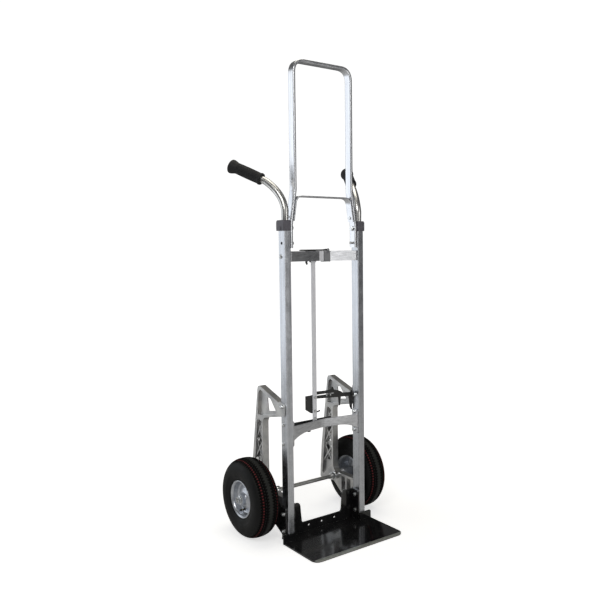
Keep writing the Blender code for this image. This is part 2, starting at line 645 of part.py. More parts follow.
def casting_windows():
    """Openings through the bracket: two triangles in each bay of the leg, one in the head, one in the web."""
    windows = [[(78.0, 406.0), (122.0, 398.0), (128.0, 440.0), (112.0, 444.0)],
               [(88.5, 94.0), (95.5, 94.0), (95.5, 109.0), (88.5, 109.0)]]
    front = LEG_FRONT_Y + CAST_RIM
    for z_low, z_high in zip(LEG_CROSSES, LEG_CROSSES[1:]):
        centre_z = (z_low + z_high) / 2
        centre_y = (front + leg_back_y(centre_z)) / 2
        for sign in (-1, 1):
            base = centre_z + sign * WINDOW_BASE
            tip = (centre_y, centre_z + sign * WINDOW_TIP)
            windows.append([tip, (centre_y - WINDOW_HALF, base), (centre_y + WINDOW_HALF, base)])
    return windows


def add_leg_ribs(casting, side, cast):
    """Crossed ribs in each bay of the leg."""
    front = LEG_FRONT_Y + CAST_RIM
    rib_x = sorted((side * (CAST_INNER_X + 3), side * (CAST_OUTER_X - 3)))
    for z_low, z_high in zip(LEG_CROSSES, LEG_CROSSES[1:]):
        ends = ((front - 2, leg_back_y(z_high) + 2), (leg_back_y(z_low) + 2, front - 2))
        for y_low, y_high in ends:
            bar = [(y_low, z_low - CAST_RIB), (y_low, z_low + CAST_RIB), (y_high, z_high + CAST_RIB),
                   (y_high, z_high - CAST_RIB)]
            add(casting, prism("rib", "X", bar, *rib_x, cast))


def make_casting(label, side, cast):
    low, high = sorted((side * CAST_INNER_X, side * CAST_OUTER_X))
    casting = prism("wheel_bracket_" + label, "X", CASTING_OUTLINE, low, high, cast)
    middle = (low + high) / 2
    for pocket in casting_pockets():
        for sign in (-1, 1):
            start = middle + sign * CAST_WEB / 2
            cut(casting, prism("pocket", "X", pocket, *sorted((start, start + sign * 20)), cast))
    add_leg_ribs(casting, side, cast)
    for window in casting_windows():
        cut(casting, prism("window", "X", window, low - PAST, high + PAST, cast))
    cheek_x = sorted((side * (RAIL_OUTER_X + GAP), side * (RAIL_OUTER_X + GAP + CHEEK_THICKNESS)))
    plate = prism("cheek", "X", CHEEK_OUTLINE, *cheek_x, cast)
    root_x = sorted((side * (CAST_OUTER_X - 4), side * (RAIL_OUTER_X + 2)))
    add(plate, prism("cheek_root", "X", CHEEK_ROOT, *root_x, cast))
    add(casting, plate)
    drill(casting, "X", (AXLE_Y, AXLE_Z), AXLE_RADIUS + BORE_GAP, low - PAST, high + PAST, 14)
    place = (CAST_BOLT_Y, CAST_BOLT_Z)
    drill(casting, "X", place, BOLT_HOLE_RADIUS, side * (RAIL_OUTER_X - 1), side * (RAIL_OUTER_X + 8), 8)
    return casting


def make_axle_plate(label, side, black_steel):
    plate_x = sorted(side * x for x in AXLE_PLATE_X)
    plate = prism("axle_plate_" + label, "X", AXLE_PLATE_OUTLINE, *plate_x, black_steel)
    for z in SIDE_BOLT_Z:
        drill(plate, "X", (SIDE_BOLT_Y, z), BOLT_HOLE_RADIUS, plate_x[0] - PAST, plate_x[1] + PAST, 8)
    return plate


def tyre_profile():
    """A hollow tyre, open towards the rim."""
    profile = TYRE_OUTSIDE + [TYRE_CROWN] + mirrored(reversed(TYRE_OUTSIDE), -1)
    return profile + mirrored(reversed(TYRE_INSIDE), -1) + [TYRE_INNER_CROWN] + TYRE_INSIDE


def rim_profile(side):
    """A rim with a lip at each edge, a dished disc and a hub; the hub reaches further inboard."""
    return mirrored(RIM_BARREL + RIM_DISC + RIM_BACK, side)


def bearing_profile(side):
    outer = HUB_BORE - GAP
    inner = AXLE_RADIUS + 0.9
    ends = (-HUB_INNER + 1, HUB_OUTER - 1)
    return mirrored([(ends[0], outer), (ends[1], outer), (ends[1], inner), (ends[0], inner)], side)


def make_wheel(label, side, rubber, rim_steel, bearing_steel):
    centre = Vector((side * WHEEL_X, AXLE_Y, AXLE_Z))
    tyre = lathe("tyre_" + label, centre, tyre_profile(), WHEEL_STEPS, rubber)
    rim = lathe("wheel_rim_" + label, centre, rim_profile(side), WHEEL_STEPS, rim_steel)
    bearing = lathe("hub_bearing_" + label, centre, bearing_profile(side), 14, bearing_steel)
    hang([tyre, rim, bearing], pivot_at("wheel_axis_" + label, centre))


def make_axle(steel, zinc):
    end = AXLE_HALF
    tip = AXLE_RADIUS - 1
    stations = [(-end, tip), (-end + 2, AXLE_RADIUS), (end - 2, AXLE_RADIUS), (end, tip)]
    stack("axle", "X", (AXLE_Y, AXLE_Z), stations, steel, 12)
    place = (AXLE_Y, AXLE_Z)
    bore = AXLE_RADIUS + BORE_GAP
    for label, side in SIDES.items():
        collar = stack("axle_collar_" + label, "X", place, mirrored(COLLAR_STATIONS, side), zinc, 12)
        drill(collar, "X", place, bore, side * 105.0, side * 136.0, 12)
        # The axle ends inside the nut, whose outer end is closed.
        nut = stack("axle_nut_" + label, "X", place, mirrored(AXLE_NUT_STATIONS, side), zinc)
        drill(nut, "X", place, bore, side * 255.0, side * (AXLE_HALF + 1), 12)


# ---------------------------------------------------------------- loop handle

def loop_path():
    """Half the loop's centre line, from the right foot up to the middle of its top bar, as (x, z)."""
    half = LOOP_THICKNESS / 2
    foot_x = LOOP_FOOT_OUTER_X - half
    leg_x = LOOP_OUTER_X - half
    corner = LOOP_CORNER
    points = [(foot_x, LOOP_FOOT_Z), (foot_x, LOOP_FLARE_LOW_Z - 12), (foot_x - 1.0, LOOP_FLARE_LOW_Z)]
    points += [(leg_x + 1.0, LOOP_FLARE_HIGH_Z - 8), (leg_x, LOOP_FLARE_HIGH_Z + 4)]
    points += arc((leg_x - corner, LOOP_TOP - half - corner), corner, 0, 90, 6)
    return points


def brace_path():
    """Half the brace's centre line, which runs up inside the loop's leg and across below it."""
    centre = (BRACE_SHOULDER_X - BRACE_CORNER, BRACE_TOP - BRACE_THICKNESS / 2 - BRACE_CORNER)
    return BRACE_LEG + arc(centre, BRACE_CORNER, 10, 90, 6)


def whole(half_path):
    return half_path + [(-x, z) for x, z in reversed(half_path)]


def make_loop(aluminium, zinc):
    half_loop = loop_path()
    half_brace = brace_path()
    loop = flat_bar("loop_handle", whole(half_loop), LOOP_THICKNESS, LOOP_FRONT_Y, LOOP_DEPTH, aluminium)
    brace = flat_bar("loop_brace", whole(half_brace), BRACE_THICKNESS, LOOP_FRONT_Y + 1, LOOP_DEPTH - 2,
                     aluminium, 0.8)
    rivets = []
    for label, side in SIDES.items():
        for z, radius in ((LOOP_PIVOT_Z, BOLT_HOLE_RADIUS + 0.5), (LOOP_PIN_Z, LOOP_PIN_RADIUS + 0.8)):
            drill(loop, "X", (LOOP_CENTRE_Y, z), radius, side * 118.0, side * 138.0, 12)
        rivet_place = (LOOP_CENTRE_Y, BRACE_RIVET_Z)
        for piece in (loop, brace):
            drill(piece, "X", rivet_place, BRACE_RIVET_RADIUS + 0.5, side * 104.0, side * 138.0, 8)
        stations = mirrored(BRACE_RIVET_STATIONS, side)
        rivets.append(stack("brace_rivet_" + label, "X", rivet_place, stations, zinc))
    hang([loop, brace] + rivets, pivot_at("loop_axis", (0, LOOP_CENTRE_Y, LOOP_PIVOT_Z)))


def make_loop_pins(zinc):
    """The lock pins, drawn back into the loop's feet, and the bolts that the loop turns on."""
    for label, side in SIDES.items():
        pin = stack("loop_pin_" + label, "X", (LOOP_CENTRE_Y, LOOP_PIN_Z),
                    mirrored(LOOP_PIN_STATIONS, side), zinc, 12)
        hang([pin], pivot_at("loop_pin_axis_" + label, (side * LOOP_FOOT_OUTER_X, LOOP_CENTRE_Y, LOOP_PIN_Z)))
        stack("loop_pivot_bolt_" + label, "X", (LOOP_CENTRE_Y, LOOP_PIVOT_Z),
              mirrored(LOOP_BOLT_STATIONS, side), zinc, 8)


# ---------------------------------------------------------------- latch and release

def make_rod(black_steel, aluminium, zinc):
    """The flat rod with the latch plate bolted to its back, and the pins that join it to lever and arm."""
    rod_x = (ROD_X - ROD_WIDTH / 2, ROD_X + ROD_WIDTH / 2)
    rod = box("release_rod", (rod_x[0], ROD_FRONT_Y, ROD_LOW), (rod_x[1], ROD_BACK_Y, ROD_TOP), aluminium)
    for z in (LEVER_LINK_Z, LATCH_LINK_Z, PLATE_BOLT_Z, STOP_BOLT_Z):
        drill(rod, "Y", (ROD_X, z), LINK_RADIUS + GAP, ROD_FRONT_Y - PAST, ROD_BACK_Y + PAST, 8)
    plate = prism("latch_plate", "Y", LATCH_PLATE_OUTLINE, *PLATE_Y, black_steel)
    for z in (LATCH_LINK_Z, PLATE_BOLT_Z):
        drill(plate, "Y", (ROD_X, z), LINK_RADIUS + GAP, PLATE_Y[0] - PAST, PLATE_Y[1] + PAST, 8)
    head = [(ROD_FRONT_Y - GAP - 4.0, ROD_BOLT_HEAD), (ROD_FRONT_Y - GAP, ROD_BOLT_HEAD)]
    moving = [rod, plate]
    for name, z, end in (("latch_plate_bolt", PLATE_BOLT_Z, PLATE_Y[1] + 0.3),
                         ("rod_stop_bolt", STOP_BOLT_Z, ROD_BACK_Y + 0.3)):
        stations = head + [(ROD_FRONT_Y - GAP, LINK_RADIUS), (end, LINK_RADIUS)]
        moving.append(stack(name, "Y", (ROD_X, z), stations, zinc))
    stations = head + [(ROD_FRONT_Y - GAP, LINK_RADIUS), (ARM_Y[1] + 0.6, LINK_RADIUS), (ARM_Y[1] + 0.6, 5.0),
                       (ARM_Y[1] + 2.6, 5.0)]
    moving.append(stack("latch_link_pin", "Y", (ROD_X, LATCH_LINK_Z), stations, zinc))
    stations = [(ROD_FRONT_Y + 0.5, LINK_RADIUS), (LUG_Y[1] + 0.6, LINK_RADIUS), (LUG_Y[1] + 0.6, 5.0),
                (LUG_Y[1] + 2.6, 5.0)]
    moving.append(stack("lever_link_pin", "Y", (ROD_X, LEVER_LINK_Z), stations, zinc))
    hang(moving, pivot_at("rod_axis", (ROD_X, ROD_FRONT_Y, ROD_LOW)))


def link_slot(target, centre, left, right, black_steel, depth):
    """A slot for a link pin, long enough for the pin to slide in as the piece turns."""
    half = LINK_RADIUS + 0.8
    low = (centre[0] - left, centre[1] - half)
    high = (centre[0] + right, centre[1] + half)
    outline = round_box(low, high, half - 0.2)
    cut(target, prism("link_slot", "Y", outline, depth[0] - PAST, depth[1] + PAST, black_steel))


def make_latch(black_steel, zinc):
    """The toothed arm, which turns on a pin in the back wall of the right rail."""
    pivot = (LATCH_PIVOT_X, LATCH_PIVOT_Z)
    eye = arc((ROD_X, LATCH_LINK_Z), 7.5, 15, 290, 8)
    boss = arc(pivot, 9.5, -100, 195, 9)
    arm = prism("latch_arm", "Y", eye + ARM_PRONGS + boss + ARM_TEETH, *ARM_Y, black_steel)
    link_slot(arm, (ROD_X, LATCH_LINK_Z), 4.6, 4.6, black_steel, ARM_Y)
    drill(arm, "Y", pivot, LATCH_PIN_RADIUS + 0.8, ARM_Y[0] - PAST, ARM_Y[1] + PAST, 12)
    hang([arm], pivot_at("latch_axis", (LATCH_PIVOT_X, ARM_Y[0], LATCH_PIVOT_Z)))
    wall_y = RAIL_DEPTH - RAIL_WALL - GAP
    arm_back = ARM_Y[1] + 0.6
    stations = [(wall_y - 3.2, 5.0), (wall_y, 5.0), (wall_y, LATCH_PIN_RADIUS), (arm_back, LATCH_PIN_RADIUS),
                (arm_back, 5.4), (arm_back + 3.0, 5.4)]
    stack("latch_pivot_pin", "Y", pivot, stations, zinc, 8)


def make_rod_guide(black_steel):
    """A bar behind the lower crossbar, turned forward at its left tab, with ears beside the rod."""
    guide = prism("rod_guide", "Y", GUIDE_OUTLINE, *GUIDE_Y, black_steel)
    leg_low = (GUIDE_LEG_X[0], 12.0, GUIDE_LOW)
    leg_high = (GUIDE_LEG_X[1], GUIDE_Y[1], GUIDE_TOP - 2.7)
    add(guide, box("leg", leg_low, leg_high, black_steel))
    for side in SIDES.values():
        near = ROD_X + side * (ROD_WIDTH / 2 + 0.8)
        far = near + side * 4.0
        ear_x = sorted((near, far))
        ear_low = (ear_x[0], GUIDE_EAR_FRONT_Y, GUIDE_LOW + 1)
        ear_high = (ear_x[1], GUIDE_Y[0] + 1, GUIDE_TOP - 4)
        add(guide, box("ear", ear_low, ear_high, black_steel))


def make_lever_bracket(steel):
    """A plate on the right half of the upper crossbar, with a foot under the bar and an ear for the pivot."""
    low, top = BRACKET_Z
    back = [(x, bar_front(x) - GAP) for x in BRACKET_X]
    front = [(x, y - BRACKET_THICKNESS) for x, y in reversed(back)]
    bracket = prism("lever_bracket", "Z", back + front, low, top, steel)
    pivot = (LEVER_PIVOT_X, LEVER_PIVOT_Z)
    ear = [(19.0, 908.0), (29.0, 908.0)] + arc(pivot, EAR_RADIUS, 0, 180, 6)
    add(bracket, prism("ear", "Y", ear, *LEVER_EAR_Y, steel))
    foot_low = (BRACKET_X[0] - 8, 18.0, low)
    foot_high = (BRACKET_X[1] - 3, 29.0, UPPER_BAR_LOW - GAP)
    add(bracket, box("foot", foot_low, foot_high, steel))
    drill(bracket, "Y", pivot, LEVER_PIN_RADIUS + 0.3, LEVER_EAR_Y[0] - PAST, LEVER_EAR_Y[1] + PAST, 10)


def make_lever(black_steel, zinc):
    """The hand lever on top of the upper crossbar; a lug behind the bar reaches down to the rod."""
    pivot = (LEVER_PIVOT_X, LEVER_PIVOT_Z)
    bar = [(-83.0, 919.0), (-79.0, 916.6)] + arc(pivot, LEVER_BOSS_RADIUS, -90, 90, 5)
    bar += [(10.0, 921.2), (-76.0, 921.0)]
    lever = prism("hand_lever", "Y", bar, *LEVER_Y, black_steel)
    shelf_x = (LEVER_LUG_OUTLINE[0][0], LEVER_LUG_OUTLINE[-1][0])
    add(lever, box("shelf", (shelf_x[0], LEVER_Y[1] - 2, 916.8), (shelf_x[1], LUG_Y[1], 920.6), black_steel))
    add(lever, prism("lug", "Y", LEVER_LUG_OUTLINE, *LUG_Y, black_steel))
    link_slot(lever, (ROD_X, LEVER_LINK_Z), 4.0, 7.0, black_steel, LUG_Y)
    drill(lever, "Y", pivot, LEVER_PIN_RADIUS + 0.3, LEVER_Y[0] - PAST, LEVER_Y[1] + PAST, 10)
    head_y = LEVER_EAR_Y[0] - GAP
    tail_y = LEVER_Y[1] + 0.5
    stations = [(head_y - 2.4, 3.4), (head_y, 3.4), (head_y, LEVER_PIN_RADIUS), (tail_y, LEVER_PIN_RADIUS),
                (tail_y, 3.0), (tail_y + 1.5, 3.0)]
    stack("lever_pivot_pin", "Y", pivot, stations, zinc, 8)
    hang([lever], pivot_at("lever_axis", (LEVER_PIVOT_X, LEVER_Y[0], LEVER_PIVOT_Z)))


# ---------------------------------------------------------------- assembly

def make_side(label, side, looks):
    """Everything that one side of the truck has for itself."""
    zinc = looks["zinc"]
    make_rail(label, side, looks["aluminium"])
    make_cap(label, side, looks["plastic"])
    make_grip_tube(label, side, looks["bent_aluminium"])
    make_grip(label, side, looks["grip_rubber"])
    make_casting(label, side, looks["cast"])
    make_axle_plate(label, side, looks["black_steel"])
    make_wheel(label, side, looks["tyre_rubber"], looks["rim_steel"], zinc)
    head_x = TAB_INNER_X - GAP
    nut_x = RAIL_OUTER_X + GAP
    through_bolt("crossbar_bolt_upper_" + label, side, (BAR_BOLT_Y, UPPER_BOLT_Z), head_x, nut_x, zinc, 2.0)
    for number, z in enumerate(LOWER_BOLT_Z, 1):
        name = f"crossbar_bolt_lower_{label}_{number}"
        through_bolt(name, side, (BAR_BOLT_Y, z), head_x, nut_x, zinc, 2.0)
    through_bolt("wheel_bracket_bolt_" + label, side, (CAST_BOLT_Y, CAST_BOLT_Z), RAIL_INNER_X - GAP,
                 nut_x + GAP + CHEEK_THICKNESS, zinc)
    for number, z in enumerate(SIDE_BOLT_Z, 1):
        name = f"axle_plate_bolt_{label}_{number}"
        through_bolt(name, side, (SIDE_BOLT_Y, z), SIDE_TAB_X - GAP, AXLE_PLATE_X[1] + GAP, zinc)


def main():
    clear_scene()
    looks = {
        "aluminium": material("mill aluminium", (0.62, 0.64, 0.68), 0.34, 1.0),
        "bent_aluminium": material("polished aluminium", (0.72, 0.72, 0.72), 0.22, 1.0),
        "cast": material("cast aluminium", (0.48, 0.48, 0.47), 0.55, 1.0),
        "zinc": material("zinc plate", (0.78, 0.80, 0.82), 0.25, 1.0),
        "steel": material("axle steel", (0.42, 0.42, 0.42), 0.4, 1.0),
        "black_steel": material("black enamel", (0.012, 0.012, 0.013), 0.22, 0.0),
        "plastic": material("cap plastic", (0.19, 0.18, 0.21), 0.5, 0.0),
        "grip_rubber": material("grip rubber", (0.018, 0.018, 0.02), 0.6, 0.0),
        "tyre_rubber": material("tyre rubber", (0.022, 0.022, 0.024), 0.7, 0.0),
        "rim_steel": material("rim paint", (0.55, 0.6, 0.66), 0.35, 0.8),
    }
    for label, side in SIDES.items():
        make_side(label, side, looks)
    aluminium = looks["aluminium"]
    black_steel = looks["black_steel"]
    zinc = looks["zinc"]
    upper_height = (UPPER_BAR_LOW, UPPER_BAR_TOP)
    make_crossbar("upper_crossbar", upper_height, 0.0, upper_height, (UPPER_BOLT_Z,), aluminium)
    lower_height = (LOWER_BAR_LOW, LOWER_BAR_TOP)
    make_crossbar("lower_crossbar", lower_height, LOWER_BAR_FLARE, LOWER_TAB_Z, LOWER_BOLT_Z, aluminium)
    make_toe_plate(black_steel)
    make_axle(looks["steel"], zinc)
    make_loop(looks["bent_aluminium"], zinc)
    make_loop_pins(zinc)
    make_rod(black_steel, aluminium, zinc)
    make_latch(black_steel, zinc)
    make_rod_guide(black_steel)
    make_lever_bracket(looks["steel"])
    make_lever(black_steel, zinc)


main()
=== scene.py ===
import json
import math

import bmesh
import bpy
import numpy as np
from mathutils import Matrix, Vector


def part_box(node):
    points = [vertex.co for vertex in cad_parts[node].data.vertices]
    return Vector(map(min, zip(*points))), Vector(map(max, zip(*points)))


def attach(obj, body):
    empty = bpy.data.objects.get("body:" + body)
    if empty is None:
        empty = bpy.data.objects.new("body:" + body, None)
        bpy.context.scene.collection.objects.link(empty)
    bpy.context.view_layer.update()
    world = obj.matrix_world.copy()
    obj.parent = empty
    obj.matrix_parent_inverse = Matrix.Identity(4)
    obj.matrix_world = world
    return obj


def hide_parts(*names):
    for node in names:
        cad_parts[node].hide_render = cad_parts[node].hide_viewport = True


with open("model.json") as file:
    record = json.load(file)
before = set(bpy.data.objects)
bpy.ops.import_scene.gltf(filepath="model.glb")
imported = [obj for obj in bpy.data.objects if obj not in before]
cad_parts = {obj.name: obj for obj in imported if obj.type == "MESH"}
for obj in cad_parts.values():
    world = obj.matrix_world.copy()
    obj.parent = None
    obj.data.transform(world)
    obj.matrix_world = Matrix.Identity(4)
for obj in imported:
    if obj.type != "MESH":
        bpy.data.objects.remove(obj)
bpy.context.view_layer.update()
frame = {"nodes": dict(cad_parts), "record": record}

# Looks for the convertible hand truck. Lengths are in metres, and MM turns millimetres into them.
MM = 0.001
SIDES = {"left": -1, "right": 1}
X_AXIS = Vector((1, 0, 0))
Z_AXIS = Vector((0, 0, 1))
AXLE = (Vector(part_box("axle")[0]) + Vector(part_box("axle")[1])) / 2


# ================================================================ materials

class Look:
    """A Principled material with short calls for its nodes."""

    def __init__(self, name):
        self.material = bpy.data.materials.new(name)
        self.material.use_nodes = True
        self.tree = self.material.node_tree
        self.shader = self.tree.nodes["Principled BSDF"]
        self.place = self.tree.nodes.new("ShaderNodeTexCoord").outputs["Object"]

    def node(self, kind, inputs, **settings):
        made = self.tree.nodes.new("ShaderNode" + kind)
        for key, value in settings.items():
            setattr(made, key, value)
        for key, value in inputs.items():
            self.put(made.inputs[key], value)
        return made

    def put(self, socket, value):
        if isinstance(value, bpy.types.NodeSocket):
            self.tree.links.new(value, socket)
        else:
            socket.default_value = value

    def set(self, **values):
        for key, value in values.items():
            self.put(self.shader.inputs[key.replace("_", " ")], value)

    def stretched(self, scale):
        """Object coordinates scaled along each axis."""
        return self.node("Mapping", {"Vector": self.place, "Scale": scale}).outputs["Vector"]

    def noise(self, scale, detail, roughness=0.5, place=None):
        inputs = {"Vector": place or self.place, "Scale": scale, "Detail": detail, "Roughness": roughness}
        return self.node("TexNoise", inputs).outputs["Fac"]

    def cells(self, scale):
        return self.node("TexVoronoi", {"Vector": self.place, "Scale": scale})

    def remap(self, value, low, high, to_low, to_high):
        inputs = {"Value": value, "From Min": low, "From Max": high, "To Min": to_low, "To Max": to_high}
        return self.node("MapRange", inputs).outputs["Result"]

    def maths(self, operation, first, second):
        return self.node("Math", {0: first, 1: second}, operation=operation).outputs[0]

    def mix(self, factor, first, second):
        """Colours are (r, g, b) or a socket."""
        made = self.tree.nodes.new("ShaderNodeMix")
        made.data_type = "RGBA"
        self.put(made.inputs["Factor"], factor)
        for key, colour in (("A", first), ("B", second)):
            socket = next(s for s in made.inputs if s.name == key and s.type == "RGBA")
            self.put(socket, colour if isinstance(colour, bpy.types.NodeSocket) else (*colour, 1.0))
        return next(s for s in made.outputs if s.type == "RGBA")

    def bump(self, *layers):
        """Each layer is (height, distance in metres); the layers add up."""
        normal = None
        for height, distance in layers:
            inputs = {"Height": height, "Distance": distance, "Strength": 1.0}
            if normal is not None:
                inputs["Normal"] = normal
            normal = self.node("Bump", inputs).outputs["Normal"]
        self.put(self.shader.inputs["Normal"], normal)

    def edges(self, radius):
        """1 on the rounded edges and 0 on flat stretches."""
        bevelled = self.node("Bevel", {"Radius": radius}, samples=4).outputs["Normal"]
        flat = self.node("NewGeometry", {}).outputs["Normal"]
        dot = self.node("VectorMath", {0: bevelled, 1: flat}, operation="DOT_PRODUCT").outputs["Value"]
        return self.remap(dot, 0.98, 0.80, 0.0, 1.0)


def drawn_aluminium(name, dark, light, rough, streaks, edge_highlight, relief=1.0):
    """Extruded or drawn aluminium: fine die lines along the metal, a cloudy oxide, and a painted highlight on
    its rounded edges.
    """
    look = Look(name)
    lines = look.noise(1.0, 2.0, 0.6, look.stretched(streaks))
    wide_lines = look.noise(1.0, 2.0, 0.5, look.stretched([s * 0.18 for s in streaks]))
    cloud = look.noise(22.0, 4.0, 0.6)
    nicks = look.noise(1.0, 1.0, 0.4, look.stretched((160, 160, 900)))
    nick = look.remap(nicks, 0.70, 0.74, 0.0, 1.0)
    colour = look.mix(look.remap(cloud, 0.3, 0.7, 0.0, 1.0), dark, light)
    colour = look.mix(look.remap(wide_lines, 0.35, 0.65, 0.0, 0.6), colour, [c * 0.74 for c in dark])
    # Painted highlight: the rounded edges are mixed towards near-white, as strongly as the edge argument
    # says.
    colour = look.mix(look.maths("MULTIPLY", look.edges(0.8 * MM), edge_highlight), colour, (0.9, 0.9, 0.92))
    shine = look.remap(lines, 0.3, 0.7, rough - 0.07, rough + 0.09)
    shine = look.maths("ADD", shine, look.remap(cloud, 0.3, 0.7, -0.04, 0.06))
    shine = look.maths("ADD", shine, look.maths("MULTIPLY", nick, 0.12))
    look.set(Base_Color=colour, Metallic=1.0, Roughness=shine)
    nick_depth = look.maths("MULTIPLY", nick, -1.0)
    deep = 0.03 * MM * relief
    look.bump((lines, 0.012 * MM * relief), (wide_lines, deep), (nick_depth, deep))
    return look.material


def cast_aluminium(name):
    """Sand-cast aluminium: a fine grain, shallow warmer pits, and a painted highlight on its rounded edges.
    """
    look = Look(name)
    grain = look.noise(900.0, 4.0, 0.7)
    lumps = look.noise(120.0, 3.0, 0.5)
    cloud = look.noise(18.0, 4.0, 0.6)
    pits = look.remap(look.cells(420.0).outputs["Distance"], 0.0, 0.35, 0.0, 1.0)
    colour = look.mix(look.remap(cloud, 0.32, 0.68, 0.0, 1.0), (0.42, 0.425, 0.435), (0.72, 0.715, 0.70))
    colour = look.mix(look.remap(pits, 0.0, 0.6, 0.35, 0.0), colour, (0.24, 0.23, 0.21))
    # Painted highlight: every rounded edge is mixed towards near-white.
    colour = look.mix(look.maths("MULTIPLY", look.edges(1.6 * MM), 0.9), colour, (0.92, 0.92, 0.94))
    look.set(Base_Color=colour, Metallic=0.95, Roughness=look.remap(grain, 0.3, 0.7, 0.26, 0.46))
    look.bump((lumps, 0.18 * MM), (grain, 0.07 * MM), (pits, 0.05 * MM))
    return look.material


def plated_steel(name, dark, light, rough):
    """Zinc-plated or bright steel: small crystals of slightly different shine, and handling haze."""
    look = Look(name)
    crystal = look.cells(900.0).outputs["Color"]
    haze = look.noise(140.0, 4.0, 0.6)
    spread = look.node("SeparateColor", {"Color": crystal}).outputs["Red"]
    colour = look.mix(look.remap(haze, 0.3, 0.7, 0.0, 1.0), dark, light)
    colour = look.mix(look.remap(spread, 0.0, 1.0, 0.0, 0.25), colour, (0.93, 0.91, 0.80))
    shine = look.remap(spread, 0.0, 1.0, rough - 0.06, rough + 0.10)
    look.set(Base_Color=colour, Metallic=1.0, Roughness=shine)
    look.bump((haze, 0.03 * MM), (look.noise(2500.0, 2.0), 0.006 * MM))
    return look.material


def pale_metal(name, dark, light):
    """Dull bright metal with a whitish skin: fine lines along it and small scuffs."""
    look = Look(name)
    lines = look.noise(1.0, 2.0, 0.6, look.stretched(ALONG_Z))
    cloud = look.noise(40.0, 4.0, 0.6)
    scuff = look.remap(look.noise(1.0, 2.0, 0.5, look.stretched((400, 400, 60))), 0.62, 0.72, 0.0, 0.5)
    colour = look.mix(look.remap(cloud, 0.3, 0.7, 0.0, 1.0), dark, light)
    colour = look.mix(scuff, colour, [c * 0.75 for c in dark])
    look.set(Base_Color=colour, Metallic=0.12, Roughness=look.remap(lines, 0.3, 0.7, 0.34, 0.5))
    look.bump((lines, 0.01 * MM), (scuff, 0.01 * MM))
    return look.material


def enamel(name, base, rough, peel, wear):
    """Gloss enamel on steel: orange peel, fine handling marks, and steel showing where an edge is knocked."""
    look = Look(name)
    skin = look.noise(260.0, 2.0, 0.4)
    cloud = look.noise(30.0, 4.0, 0.65)
    rubs = look.noise(1.0, 3.0, 0.6, look.stretched((900, 60, 900)))
    knock = look.remap(look.noise(150.0, 4.0, 0.7), 0.50, 0.62, 0.0, wear)
    knock = look.maths("MULTIPLY", look.edges(1.2 * MM), knock)
    dust = look.remap(cloud, 0.45, 0.8, 0.0, 0.10)
    colour = look.mix(dust, base, (0.16, 0.16, 0.15))
    colour = look.mix(knock, colour, (0.42, 0.43, 0.40))
    shine = look.remap(rubs, 0.35, 0.75, rough - 0.04, rough + 0.14)
    look.set(Base_Color=colour, Roughness=look.maths("ADD", shine, look.maths("MULTIPLY", knock, 0.2)),
             Metallic=look.maths("MULTIPLY", knock, 0.8), Coat_Weight=0.5, Coat_Roughness=0.08)
    look.bump((skin, peel), (rubs, 0.006 * MM))
    return look.material


def rubber(name, base, dusty, rough, grain_scale, grain_depth, shine=0.42):
    """Moulded rubber: a fine grain, a dull bloom and a little floor dust."""
    look = Look(name)
    grain = look.noise(grain_scale, 3.0, 0.6)
    bloom = look.noise(34.0, 4.0, 0.6)
    colour = look.mix(look.remap(bloom, 0.4, 0.8, 0.0, 0.55), base, dusty)
    colour = look.mix(look.remap(grain, 0.55, 0.8, 0.0, 0.25), colour, dusty)
    look.set(Base_Color=colour, Roughness=look.remap(bloom, 0.3, 0.7, rough - 0.08, rough + 0.10),
             Specular_IOR_Level=shine)
    look.bump((grain, grain_depth), (look.noise(grain_scale * 0.2, 2.0), grain_depth))
    return look.material


def moulded_plastic(name, dark, light, rough):
    """Moulded plastic with a spark-eroded grain."""
    look = Look(name)
    grain = look.cells(1400.0).outputs["Distance"]
    cloud = look.noise(60.0, 4.0, 0.6)
    colour = look.mix(look.remap(cloud, 0.35, 0.65, 0.0, 1.0), dark, light)
    look.set(Base_Color=colour, Roughness=look.remap(cloud, 0.3, 0.7, rough - 0.06, rough + 0.08))
    look.bump((grain, 0.03 * MM), (look.noise(300.0, 2.0), 0.03 * MM))
    return look.material


def rim_paint(name):
    """Silver paint on pressed steel, with flakes in it."""
    look = Look(name)
    flake = look.node("SeparateColor", {"Color": look.cells(3500.0).outputs["Color"]}).outputs["Red"]
    cloud = look.noise(40.0, 4.0, 0.6)
    colour = look.mix(look.remap(cloud, 0.3, 0.7, 0.0, 1.0), (0.47, 0.50, 0.55), (0.66, 0.68, 0.72))
    colour = look.mix(look.remap(flake, 0.6, 1.0, 0.0, 0.35), colour, (0.85, 0.87, 0.92))
    look.set(Base_Color=colour, Metallic=0.85, Roughness=look.remap(flake, 0.0, 1.0, 0.24, 0.38),
             Coat_Weight=0.35, Coat_Roughness=0.15)
    look.bump((look.noise(220.0, 2.0), 0.02 * MM), (flake, 0.004 * MM))
    return look.material


def pale_floor(name):
    """A pale sweep: the camera sees it lit evenly, with only soft shadows, and it fades into the backdrop."""
    look = Look(name)
    cloud = look.noise(3.0, 4.0, 0.6)
    look.set(Base_Color=look.mix(cloud, (0.80, 0.80, 0.80), (0.84, 0.84, 0.84)), Roughness=0.7,
             Specular_IOR_Level=0.1)
    look.bump((look.noise(400.0, 2.0), 0.02 * MM),)
    away = look.node("VectorMath", {0: look.place}, operation="LENGTH").outputs["Value"]
    seen = look.node("LightPath", {}).outputs["Is Camera Ray"]
    glow = look.maths("MULTIPLY", look.remap(away, 0.3, 2.2, 0.62, 1.0), seen)
    look.set(Emission_Color=(1.0, 1.0, 1.0, 1.0), Emission_Strength=glow)
    return look.material


